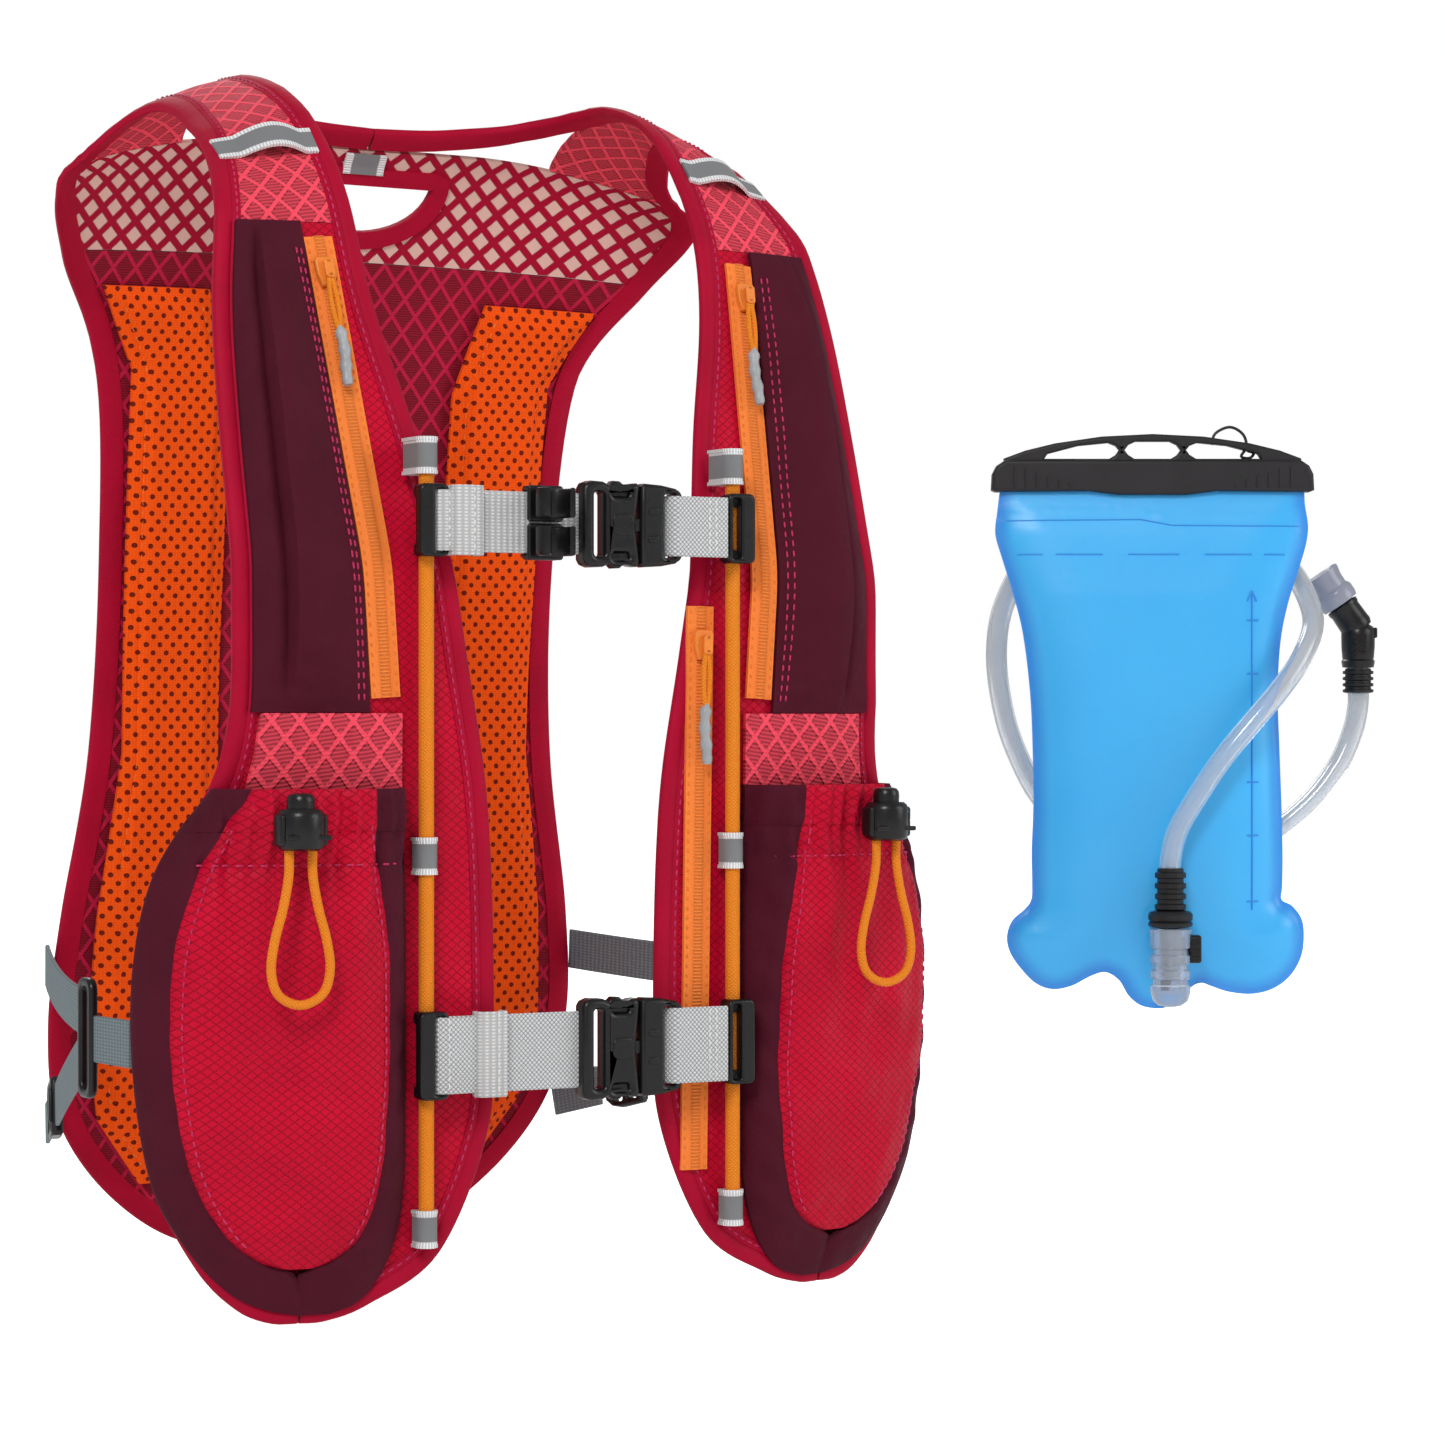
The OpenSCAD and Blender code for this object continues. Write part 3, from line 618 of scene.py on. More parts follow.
def softshell_look():
    look = cloth("softshell", MAROON, 0.72)
    look.color(mottled(look, MAROON, 0.22, 45))
    look.bump(look.noise(20, 3), 0.014, 0.6)
    look.bump(look.noise(75, 4), 0.003, 0.5)
    twill = look.wave(look.math("ADD", look.u, look.v), 0.9)
    return look.bump(twill, 0.00006, 0.5).mat


def back_mesh_look():
    color = (0.30, 0.010, 0.030)
    look = cloth("back_mesh", color, 0.7)
    lines = look.step(look.lattice(9.5, 12.5), 0.70, 0.86)
    ribs = look.wave(look.v, 0.9)
    cell = look.mix(ribs, shade(color, 0.45), shade(color, 0.95))
    look.color(look.mix(lines, cell, (0.50, 0.012, 0.055)))
    look.bump(lines, 0.0007, 0.8)
    return look.bump(ribs, 0.00012, 0.5).mat


def yoke_look():
    look = cloth("yoke_net", (0.5, 0.05, 0.08), 0.7)
    lines = look.step(look.lattice(10.4, 10.4), 0.60, 0.68)
    ribs = look.wave(look.math("ADD", look.u, look.math("MULTIPLY", look.v, 0.6)), 0.9)
    sheer = look.mix(ribs, (0.55, 0.30, 0.26), (0.86, 0.62, 0.53))
    look.color(look.mix(lines, sheer, (0.36, 0.003, 0.028)))
    return look.bump(lines, 0.0006, 0.8).mat


def coral_look():
    look = cloth("coral_mesh", CORAL, 0.65)
    lines = look.step(look.lattice(9.0, 11.0), 0.66, 0.84)
    ribs = look.wave(look.math("ADD", look.v, look.math("MULTIPLY", look.u, 0.15)), 1.3)
    cell = look.mix(ribs, shade(CORAL, 0.42), shade(CORAL, 0.85))
    look.color(look.mix(lines, cell, shade(CORAL, 1.12)))
    look.bump(lines, 0.0009, 0.9)
    return look.bump(ribs, 0.0002, 0.6).mat


def spacer_look():
    look = cloth("spacer", ORANGE, 0.8)
    holes = look.dots(5.2, 6.0, 1.0)
    grain = look.weave(1.1, 0.9)
    face = look.mix(grain, shade(ORANGE, 0.88), shade(ORANGE, 1.15))
    # Painted shade: the holes get a near-black orange that stands for the shadow inside the perforations.
    look.color(look.mix(holes, face, (0.16, 0.012, 0.004)))
    look.bump(look.math("SUBTRACT", 1.0, holes), 0.0011, 0.9)
    return look.bump(grain, 0.00015, 0.6).mat


def tape_look():
    look = cloth("zip_tape", TAPE, 0.62)
    mid = look.step(look.math("ABSOLUTE", look.u), 2.0, 1.5)
    teeth = look.wave(look.v, 1.15)
    herring = look.wave(look.math("ADD", look.v, look.math("ABSOLUTE", look.u)), 0.8)
    flat_part = look.mix(herring, shade(TAPE, 0.84), shade(TAPE, 1.06))
    coil = look.mix(teeth, shade(TAPE, 0.72), shade(TAPE, 1.02))
    look.color(look.mix(mid, flat_part, coil))
    look.bump(look.math("MULTIPLY", mid, teeth), 0.0004, 0.9)
    return look.bump(herring, 0.00008, 0.6).mat


def cord_look():
    look = cloth("cord", CORD, 0.6)
    look.use("Object", "X", "Z")
    braid = look.braid(1.2)
    look.tint(braid, CORD, 0.72, 1.1)
    return look.bump(braid, 0.0003, 0.7).mat


def reflective_look():
    look = cloth("reflective", (0.2, 0.205, 0.21), 0.38)
    edge = look.step(look.math("ABSOLUTE", look.u), 0.62, 0.70)
    ribs = look.wave(look.v, 1.0)
    white = look.mix(ribs, (0.55, 0.56, 0.57), (0.9, 0.9, 0.9))
    look.color(look.mix(edge, (0.2, 0.205, 0.21), white))
    return look.bump(look.math("MULTIPLY", edge, ribs), 0.0003, 0.7).mat


def binding_look():
    look = cloth("binding", BINDING, 0.62)
    rib = look.wave(look.v, 1.1)
    look.tint(look.noise(35, 2), BINDING, 0.8, 1.3)
    look.bump(rib, 0.00005, 0.4)
    return look.bump(look.noise(120, 2), 0.0007, 0.4).mat


def webbing_look(name, color, diamonds):
    look = cloth(name, color, 0.62)
    if diamonds:
        knit = look.braid(1.6)
        look.tint(look.step(knit, 0.02, 0.25), color, 0.55, 1.25)
        return look.bump(knit, 0.0003, 0.8).mat
    rows = look.wave(look.v, 2.2)
    picks = look.wave(look.u, 1.1)
    look.tint(look.math("MULTIPLY", rows, picks), color, 0.7, 1.2)
    return look.bump(look.math("ADD", rows, look.math("MULTIPLY", picks, 0.4)), 0.0003, 0.7).mat


def plastic_look(name, color, rough=0.42):
    look = Look(name, color, rough, Specular_IOR_Level=0.36)
    grain = look.noise(1800, 2)
    look.tint(look.noise(60, 3), color, 0.7, 1.3)
    look.rough(look.math("MULTIPLY_ADD", look.noise(300, 2), 0.16, rough - 0.08))
    return look.bump(grain, 0.00012, 0.35).mat


def bag_look():
    look = Look("bag_film", (0.05, 0.42, 0.92), 0.36, Coat_Weight=0.15, Coat_Roughness=0.25,
                Subsurface_Weight=0.2, Subsurface_Scale=0.012)
    look.use("UV", "X", "Y")
    body = look.mix(look.noise(14, 2), (0.035, 0.42, 0.88), (0.060, 0.50, 0.95))
    # Darker blue within 9 mm of the edge: partly the welded rim, partly painted shade where the filled film
    # turns away.
    look.color(look.mix(look.step(look.u, 0.0, 9.0), (0.014, 0.27, 0.78), body))
    return look.bump(look.noise(220, 2), 0.0004, 0.35).mat


def glass_look(name, color, clear, rough):
    look = Look(name, color, rough, Transmission_Weight=clear, IOR=1.38, Coat_Weight=0.3, Coat_Roughness=0.05)
    look.tint(look.noise(30, 2), color, 0.97, 1)
    return look.bump(look.noise(60, 1), 0.00004, 0.2).mat


RIPSTOP = ripstop_look()
SOFTSHELL = softshell_look()
BACK_MESH = back_mesh_look()
YOKE_NET = yoke_look()
CORAL_MESH = coral_look()
SPACER = spacer_look()
ZIP_TAPE = tape_look()
CORD_MAT = cord_look()
REFLECTIVE = reflective_look()
BINDING_MAT = binding_look()
WEBBING = webbing_look("webbing_grey", WEB, True)
WEBBING_SMOOTH = webbing_look("webbing_elastic", (0.62, 0.62, 0.62), False)
SIDE_WEB = webbing_look("webbing_slate", SLATE, False)
BLACK = plastic_look("black_plastic", (0.006, 0.006, 0.007), 0.3)
BAR_PLASTIC = plastic_look("bar_plastic", (0.016, 0.014, 0.016), 0.45)
ZIP_PAINT = plastic_look("zip_metal", (0.85, 0.22, 0.03), 0.35)
SHRINK = plastic_look("heat_shrink", (0.36, 0.37, 0.38), 0.35)
BAG_FILM = bag_look()
CLEAR = glass_look("clear_plastic", (0.72, 0.80, 0.92), 0.72, 0.10)
HOSE_CLEAR = glass_look("hose_clear", (0.90, 0.93, 0.97), 0.80, 0.10)
SILICONE = glass_look("silicone", (0.36, 0.38, 0.47), 0.3, 0.25)
RUBBER = plastic_look("black_rubber", (0.008, 0.008, 0.009), 0.42)
THREAD_MAROON = plastic_look("thread_maroon", (0.50, 0.022, 0.10), 0.7)
THREAD_ORANGE = plastic_look("thread_orange", (0.85, 0.20, 0.03), 0.7)
THREAD_DARK = plastic_look("thread_dark", (0.03, 0.004, 0.008), 0.8)
THREAD_WHITE = plastic_look("thread_white", (0.72, 0.72, 0.71), 0.7)

# ---------------------------------------------------------------- cloth of the vest

HEIGHTS = np.linspace(0, PATH_L, 1500)
BEHIND = HEIGHTS > 505
SIDES = ((1, "left"), (-1, "right"))
CHEST_PTS = between(inset(CHEST_LINE, BINDING_W - 1.5), 6, 470)
neck_seam = table(np.concatenate([CHEST_PTS[np.argsort(CHEST_PTS[:, 0])], [[520, 74]]]))


def back_h(z):
    """Distance along the side view of a height z on the vest's back."""
    return np.interp(-np.asarray(z, float), -spot(HEIGHTS[BEHIND])[1], HEIGHTS[BEHIND])


def crease(x, h, seed, reach=1.0):
    """Soft irregular waves of cloth."""
    a = np.sin(x / 17 + h / 41 + seed) * np.sin(h / 23 - x / 31 + 2.1 * seed)
    b = np.sin(x / 7.3 - h / 11.7 + 3 * seed) * np.sin(h / 9.1 + x / 13 + seed)
    return reach * (0.65 * a + 0.35 * b)


def bell(value, width):
    """1 at value 0, falling off on both sides."""
    return np.exp(-(value / width) ** 2)


def ramp(value, low, high):
    """Smooth rise from 0 at low to 1 at high."""
    t = np.clip((value - low) / (high - low), 0, 1)
    return t * t * (3 - 2 * t)


def panel_o(seed, reach=0.5):
    """Outer face of a flat panel with creases."""
    return lambda u, v, x, h: CLOTH_T + crease(x, h, seed, reach) * swell(u, v, False)


ride(patch("back_panel_mesh", BACK_SEAM + 0.3, 927.2, lambda h: -arm_seam(h), arm_seam,
           panel_o(1.0, 0.9), CLOTH_T, BACK_MESH, cell=4), "vest", ["back_panel"])

HAUL_W = 33
HAUL_DROP = 22


def in_haul(x, z):
    """Whether a point is inside the D-shaped haul opening."""
    return (z < 0.0) & (x ** 2 / HAUL_W ** 2 + (z / HAUL_DROP) ** 2 < 1)


ride(patch("back_yoke_net", YOKE_SEAM, BACK_SEAM, lambda h: -arm_seam(h), arm_seam,
           lambda u, v, x, h: CLOTH_T + 0 * x, CLOTH_T, YOKE_NET, cell=1.6, drop=in_haul),
     "vest", ["back_yoke"])

turn = np.linspace(PI, 2 * PI, 25)
rim = np.concatenate([np.stack([HAUL_W * np.cos(turn), HAUL_DROP * np.sin(turn)], axis=1),
                      np.stack([np.linspace(31, -31, 16), np.full(16, 0.6)], axis=1)])
rim_line = np.stack([back_h(rim[:, 1]), rim[:, 0]], axis=1)
EDGE_ROLL = [(-3.2, -0.9), (3.2, -0.9), (3.6, 1.1), (3.2, 3.0), (0, 3.5), (-3.2, 3.0), (-3.6, 1.1)]
haul_rim = sweep("haul_opening_binding", rim_line, EDGE_ROLL, BINDING_MAT, closed=True)
ride(haul_rim, "vest")

yoke_x = np.linspace(-96, 96, 97)
zig = skin(yoke_x, 563 + 3.0 * (np.arange(97) % 2) + 0.0009 * yoke_x ** 2, 2.9)
parts = [stitch_dash(a, b, np.array([0, 1.0, 0.15])) for a, b in zip(zig[:-1], zig[1:])]
ride(join_parts("yoke_overlock_thread", parts, THREAD_DARK), "vest")

for o, tag in ((2.5, "outer"), (-1.5, "inner")):
    ride(patch("haul_tab_" + tag, YOKE_SEAM + 1, YOKE_SEAM + 9, lambda h: -8, lambda h: 8,
               lambda u, v, x, h: o + 1.2 + 0 * x, 1.2, REFLECTIVE, cell=1.0,
               wrap=lambda u, v, x, h: (2 * u - 1, h)),
         "vest", ["haul_tab"])

PAD_IN = table([(575, 56), (610, 45), (860, 44), (905, 52)])
PAD_OUT = table([(575, 99), (605, 84), (745, 82), (805, 90), (845, 92), (880, 86), (905, 68)])
PAD_TOP, PAD_LOW = 575, 905
PAD_O = -1.6
PAD_SEAM = 5.2


def pad_thick(x, h):
    """Crowned foam with a sewn channel near its edge."""
    d = np.minimum(np.minimum(x - PAD_IN(h), PAD_OUT(h) - x), np.minimum(h - PAD_TOP, PAD_LOW - h))
    return 1.6 + 4.4 * ramp(d, 0, 7) - 1.6 * bell(d - PAD_SEAM, 1.2) + 0.35 * np.sin(h / 13)


for side, tag in SIDES:
    pad = patch("back_pad_" + tag, PAD_TOP, PAD_LOW, PAD_IN, PAD_OUT, lambda u, v, x, h: PAD_O + 0 * x,
                lambda u, v, x, h: pad_thick(x, h), SPACER, side, cell=1.9)
    ride(pad, "vest", ["back_pads"])
    heights = np.linspace(PAD_TOP + 6, PAD_LOW - 6, 60)
    end = heights[-1]
    ring = [(h, PAD_IN(h) + PAD_SEAM) for h in heights]
    ring += [(end, x) for x in np.linspace(PAD_IN(end) + 6, PAD_OUT(end) - 6, 8)]
    ring += [(h, PAD_OUT(h) - PAD_SEAM) for h in heights[::-1]]
    sew("pad_stitches_" + tag, [ring], lambda x, h: PAD_O - pad_thick(x, h) - 0.1, THREAD_ORANGE,
        side, 4.0)


SLEEVE_HALF = 80
SLEEVE_TOP, SLEEVE_LOW = 590, 900


def sleeve_o(x, h):
    """Outer face of the reservoir's sleeve, which stands off the back."""
    u, v = (SLEEVE_HALF - x) / (2 * SLEEVE_HALF), (SLEEVE_LOW - h) / (SLEEVE_LOW - SLEEVE_TOP)
    gather = ramp(v, 0.93, 1.0) * 0.7 * np.sin(x * 1.3)
    return 4.1 + 20 * swell(u, v, True) + crease(x, h, 2.2, 2.2) * swell(u, v, False) + gather


ride(patch("reservoir_sleeve_cloth", SLEEVE_LOW, SLEEVE_TOP, lambda h: SLEEVE_HALF, lambda h: -SLEEVE_HALF,
           lambda u, v, x, h: sleeve_o(x, h), 1.6, SOFTSHELL, cell=3),
     "vest", ["reservoir_sleeve"])
runs = [[(h, x) for h in np.linspace(604, 896, 80)] for x in (-76.5, -73.5, 73.5, 76.5)]
runs += [[(h, x) for x in np.linspace(-76, 76, 44)] for h in (601, 894)]
sew("reservoir_sleeve_stitches", runs, lambda x, h: sleeve_o(x, h) + 0.4, THREAD_MAROON, 1, 3.6)
ride(patch("reservoir_sleeve_hem", SLEEVE_TOP + 8, SLEEVE_TOP - 1, lambda h: SLEEVE_HALF,
           lambda h: -SLEEVE_HALF, lambda u, v, x, h: sleeve_o(x, h) + 0.9, 2.6, BINDING_MAT, cell=2.2),
     "vest")

# ---- front panels, shoulders ----

for side, tag in SIDES:
    ride(patch("front_panel_cloth_" + tag, 6.5, SHOULDER_SEAM - 0.3, chest_seam, arm_seam,
               panel_o(3.1 + side, 0.6), CLOTH_T, RIPSTOP, side, cell=3),
         "vest", ["front_panel_" + tag])
    ride(patch("shoulder_mesh_" + tag, SHOULDER_SEAM, YOKE_SEAM - 0.3, neck_seam, arm_seam,
               panel_o(5.3 + side, 0.8), CLOTH_T, CORAL_MESH, side, cell=3),
         "vest", ["shoulder_" + tag])

# ---- stretch bands ----

BAND_OUT = table([(160, 117), (182, 112.5), (200, 111)])


def band_o(u, v, x, h):
    """Outer face of a gathered stretch band."""
    return 4.5 + 0.5 * np.sin(x * 1.5) * swell(u, v, False) + 0.8 * swell(u, v, False)


# ---- bottle pockets ----

def smooth_table(points):
    """As table, off a smooth curve through the points."""
    line = faired(points, 12)
    return table(line[np.argsort(line[:, 0])])


POCKET_LOW = 3.0
BOTTLE_IN = smooth_table([(3, 88), (4.5, 82), (10, 74.5), (22, 67.5), (40, 63.4), (70, 62.6), (120, 62.6),
                          (171, 63.4)])
BOTTLE_OUT = smooth_table([(3, 98), (4.5, 106), (10, 118), (24, 131), (45, 142), (80, 147.5), (115, 147.5),
                           (145, 141), (171, 125)])
PATCH_IN = smooth_table([(3, 96), (16, 99), (20, 90), (29, 80.5), (48, 75), (80, 72.4), (120, 73.4),
                         (150, 78), (171, 80)])
PATCH_OUT = smooth_table([(3, 96.2), (16, 99.5), (20, 110), (29, 122), (48, 133), (80, 139.3), (115, 139.3),
                          (145, 132), (171, 117)])
STITCH_H = 147
# Each strip of a bottle pocket: its name, its hem's name, lower end, edges, material, slot and cell size.
STRIPS = (("gusset_inner", "in", POCKET_LOW, BOTTLE_IN, PATCH_IN, SOFTSHELL, "softshell", 1.9),
          ("patch", "mid", 18.5, PATCH_IN, PATCH_OUT, RIPSTOP, "ripstop", 1.9),
          ("gusset_outer", "out", POCKET_LOW, PATCH_OUT, BOTTLE_OUT, SOFTSHELL, "softshell", 1.6))


def bottle_o(x, h, seed):
    """Outer face of a bottle pocket: bulge, seams, gathers and folds."""
    a, b = BOTTLE_IN(h), BOTTLE_OUT(h)
    u, v = (x - a) / (b - a), (h - POCKET_LOW) / (POCKET_TOP - POCKET_LOW)
    puff = 17 * (1 - np.abs(2 * np.clip(u, 0, 1) - 1) ** 4.5) * (1 - (1 - np.clip(v, 0, 1)) ** 4)
    seams = 1.3 * bell(x - PATCH_IN(h), 1.6) + 1.3 * bell(x - PATCH_OUT(h), 1.6)
    gather = 1.15 * np.sin(x * 0.95 + 0.9 * np.sin(h / 6)) * ramp(h, 126, 160)
    gather = gather + 1.0 * np.sin(x * 0.40 + 0.8 * np.sin(h / 25) + seed) * ramp(h, 55, 150)
    tuck = 1.1 * bell(h - STITCH_H, 1.8)
    soft = crease(x, h, seed, 2.4) * swell(np.clip(u, 0, 1), np.clip(v, 0, 1), False)
    fold = np.sin((x + 0.7 * h) / 6.5 + seed) * bell(h - 128 - 0.3 * x + 24 * seed, 16)
    soft = soft + 1.3 * fold * swell(np.clip(u, 0, 1), np.clip(v, 0, 1), False)
    pucker = bell(x - PATCH_OUT(h) - 4, 4) + bell(x - PATCH_IN(h) + 4, 4)
    soft = soft + 0.7 * pucker * np.sin(h / 2.4 + 0.3 * x) * ramp(h, 10, 30) * np.minimum(puff / 4, 1)
    return 4.1 + puff - (seams + tuck - gather) * np.minimum(puff / 4, 1) + soft


def chest_o(x, h, seed):
    """Outer face of a chest pocket, with a fold along its outer side."""
    a, b = CHEST_IN(h), CHEST_OUT(h)
    u, v = np.clip((x - a) / (b - a), 0, 1), (h - BAND_TOP) / 164
    fold = 4.6 * (1 - ramp(u, 0.70, 0.722)) * ramp(u, 0.1, 0.6) - 2.4 * bell(u - 0.75, 0.03)
    return 4.5 + (5.6 + fold + crease(x, h, seed, 1.3)) * swell(u, np.clip(v, 0, 1), False)


CHEST_IN = table([(195, 75), (354, 85)])
CHEST_OUT = lambda h: arm_seam(h) + 1.0

for side, tag in SIDES:
    seed = 1.7 + 2 * side
    for name, _, low, left, right, look, slot, cell in STRIPS:
        ride(patch("bottle_%s_%s" % (name, tag), low, POCKET_TOP, left, right,
                   lambda u, v, x, h: bottle_o(x, h, seed), 1.6, look, side, cell=cell),
             "vest", ["bottle_pocket_" + tag])
    for _, name, _, left, right, look, _, _ in STRIPS:
        ride(patch("bottle_hem_%s_%s" % (name, tag), POCKET_TOP - 12.5, POCKET_TOP + 1, left, right,
                   lambda u, v, x, h: bottle_o(x, h, seed) + 0.3 + 1.0 * (1 - np.abs(2 * v - 1) ** 4),
                   2.6, look, side, cell=1.3), "vest")
    heights = np.linspace(26, 168, 60)
    sew("bottle_stitches_" + tag, [[(h, PATCH_IN(h) + 2.4) for h in heights],
                                   [(h, PATCH_OUT(h) - 2.4) for h in heights],
                                   [(STITCH_H, x) for x in np.linspace(67, 134, 24)]],
        lambda x, h: bottle_o(x, h, seed) + 0.4, THREAD_MAROON, side)

    ride(patch("chest_pocket_cloth_" + tag, BAND_TOP + 0.3, SHOULDER_SEAM - 1, CHEST_IN, CHEST_OUT,
               lambda u, v, x, h: chest_o(x, h, seed), 2.0, SOFTSHELL, side, cell=1.7),
         "vest", ["chest_pocket_" + tag])
    heights = np.linspace(199, 350, 50)
    sew("chest_stitches_" + tag, [[(h, CHEST_IN(h) + w) for h in heights] for w in (2.2, 4.2)],
        lambda x, h: chest_o(x, h, seed) + 0.3, THREAD_MAROON, side)

    ride(patch("stretch_band_" + tag, POCKET_TOP + 0.8, BAND_TOP, lambda h: 64, BAND_OUT, band_o, 1.8,
               CORAL_MESH, side, cell=1.6), "vest", ["stretch_bands"])

# ---- zips ----

TAPE_PROFILE = [(-5, 2.6), (5, 2.6), (5, 3.9), (2.1, 4.0), (1.6, 4.6), (0.5, 4.7), (-0.5, 4.7),
                (-1.6, 4.6), (-2.1, 4.0), (-5, 3.9)]


ZIPS = (("left", ZIP_UPPER, 1), ("right", ZIP_UPPER, -1), ("lower", ZIP_LOWER, 1))

for tag, ends, side in ZIPS:
    line = resampled(ends, 4)
    ride(sweep("zip_tape_" + tag, line, TAPE_PROFILE, ZIP_TAPE, side), "vest", ["zip_tapes"])
    sew("zip_stitches_" + tag, [inset(line, w) for w in (-3.9, 3.9)], 3.95, THREAD_ORANGE,
        side, 3.2)

# ---- rails, tabs and keepers ----

RAIL_X = 57
RAIL_Y = -176
TAB_Z = (-363, -243, -114)
parts = []
for side, tag in SIDES:
    z = np.linspace(TAB_Z[0] - 6, TAB_Z[2] + 6, 60)
    parts.append(tube_mesh(np.stack([np.full(60, side * RAIL_X), np.full(60, RAIL_Y), z], axis=1), 2.5, 16))
ride(join_parts("rail_cords", parts, CORD_MAT), "vest", ["rails"])


def prism(outline, z0, z1):
    """Closed prism standing along Z; u runs across its height and v round it."""
    n = len(outline)
    levels = [z0, z0 + 1.1, z0 + 1.3, z1 - 1.3, z1 - 1.1, z1]
    pts, uv = [], []
    run = run_of(outline)
    for z in levels:
        lip = 0.25 if z in (levels[0], levels[1], levels[-1], levels[-2]) else 0
        mid = outline.mean(axis=0)
        grown = mid + (outline - mid) * (1 + lip / 3.7)
        pts += [(p[0], p[1], z) for p in grown]
        uv += [((z - z0) / (z1 - z0) * 2 - 1, r) for r in run]
    return np.array(pts, float), ring_quads(len(levels), n) + ring_ends(len(levels), n), np.array(uv)


parts = []
for side, tag in SIDES:
    for z in TAB_Z:
        depth = 10.0 if z > -150 else 3.3
        arc = np.linspace(PI, 2 * PI, 15)
        out = [(side * RAIL_X + 3.5 * math.cos(a), RAIL_Y + 3.5 * math.sin(a)) for a in arc]
        out += [(side * RAIL_X + 3.5, RAIL_Y + depth), (side * RAIL_X - 3.5, RAIL_Y + depth)]
        parts.append(prism(np.array(out), z - 6, z + 6))
ride(tidy(join_parts("rail_tab_tapes", parts, REFLECTIVE)), "vest", ["rail_tabs"])

for side, tag in SIDES:
    ride(patch("hose_keeper_" + tag, 389, 401, lambda h: 71, lambda h: 104,
               lambda u, v, x, h: 3.7 + 4.2 * np.sin(PI * np.clip((x - 75) / 22, 0, 1)), 1.2,
               REFLECTIVE, side, cell=0.9, wrap=lambda u, v, x, h: (2 * v - 1, x)),
         "vest", ["hose_keepers"])

# ---- bindings ----

INNER_ROLL = [(0.1, 0.2), (0.9, -0.6), (4.5, -0.7), (8.3, -0.6), (8.5, 0.8), (8.2, 2.5), (5.7, 2.8),
              (5.3, 2.45), (4.9, 2.9), (2.6, 3.0), (0.8, 2.6), (0.1, 1.9)]
OUTER_ROLL = [(-w, o) for w, o in reversed(INNER_ROLL)]


def spread(line, step):
    """The line with points no closer than step, so that its ends stay put."""
    kept = [line[0]]
    for p in line[1:-1]:
        if np.linalg.norm(p - kept[-1]) >= step:
            kept.append(p)
    return np.array(kept + [line[-1]])


for line, roll, name, node in ((CHEST_LINE, INNER_ROLL, "binding_neck", "binding_inner"),
                               (ARM_LINE, OUTER_ROLL, "binding_arm", "binding_outer")):
    for side, tag in SIDES:
        path = spread(line, 2.0)
        ride(sweep(name + "_" + tag, path, roll, BINDING_MAT, side), "vest", [node])
        seam = inset(path, 6.9 if roll is INNER_ROLL else -6.9)[3:-3]
        sew(name + "_stitches_" + tag, [seam], 2.75, THREAD_MAROON, side)

# ---------------------------------------------------------------- webbing and buckles

WEB_Y = -181
WEB_T = 1.6
BUCKLE_Y = -182.1
TAIL_Y = -184.6
SOCKET_X = -2
# Name, height and webbing width of the two chest straps.
STRAPS = (("sternum", -135, 20), ("lower", -307, 25))


def rounded(x0, z0, x1, z1, r, steps=5):
    """Corners of a rounded rectangle, anticlockwise."""
    out = []
    for cx, cz, a in ((x1 - r, z1 - r, 0), (x0 + r, z1 - r, 90), (x0 + r, z0 + r, 180), (x1 - r, z0 + r, 270)):
        for k in range(steps + 1):
            q = math.radians(a + 90 * k / steps)
            out.append((cx + r * math.cos(q), cz + r * math.sin(q)))
    return out


def plate(outline, holes, y, t, bevel=0.6):
    """Points and faces of a bevelled plate in the XZ plane, centred on y, with holes."""
    curve = bpy.data.curves.new("plate", "CURVE")
    curve.dimensions = "2D"
    curve.fill_mode = "BOTH"
    curve.extrude = (t / 2 - bevel) * MM
    curve.bevel_depth = bevel * MM
    curve.bevel_resolution = 2
    curve.offset = -bevel * MM
    for ring in [outline] + list(holes):
        spline = curve.splines.new("POLY")
        spline.points.add(len(ring) - 1)
        for p, (x, z) in zip(spline.points, ring):
            p.co = (x * MM, z * MM, 0, 1)
        spline.use_cyclic_u = True
    obj = bpy.data.objects.new("plate", curve)
    bpy.context.scene.collection.objects.link(obj)
    bpy.context.view_layer.update()
    mesh = bpy.data.meshes.new_from_object(obj.evaluated_get(bpy.context.evaluated_depsgraph_get()))
    bpy.data.objects.remove(obj)
    bpy.data.curves.remove(curve)
    pts = np.array([(v.co.x, -v.co.z, v.co.y) for v in mesh.vertices]) / MM + (0, y, 0)
    faces = [tuple(p.vertices) for p in mesh.polygons]
    bpy.data.meshes.remove(mesh)
    return pts, faces, None


def block(x0, x1, y0, y1, z0, z1, bevel=0.5):
    """Bevelled box as a plate."""
    return plate(rounded(x0, z0, x1, z1, min(1.2, (x1 - x0) / 3, (z1 - z0) / 3)), [], (y0 + y1) / 2, y1 - y0,
                 min(bevel, (y1 - y0) / 3))


def lathe(profile, sides=32):
    """Closed solid turned about Z from (r, z) points."""
    q = np.linspace(0, 2 * PI, sides, endpoint=False)
    pts = np.array([(r * math.cos(a), r * math.sin(a), z) for r, z in profile for a in q])
    return pts, ring_quads(len(profile), sides) + ring_ends(len(profile), sides), None


def moved(part, shift=(0, 0, 0), turn=None):
    """The part turned and then shifted."""
    pts, faces, uv = part
    pts = np.asarray(pts, float)
    if turn is not None:
        pts = pts @ np.array(Euler(turn).to_matrix()).T
    return pts + np.array(shift, float), faces, uv


def made(name, parts, material, body, slot, nodes=(), angle=35):
    """One piece from parts, on its body."""
    return ride(tidy(join_parts(name, parts, material, angle=angle)), body, nodes)


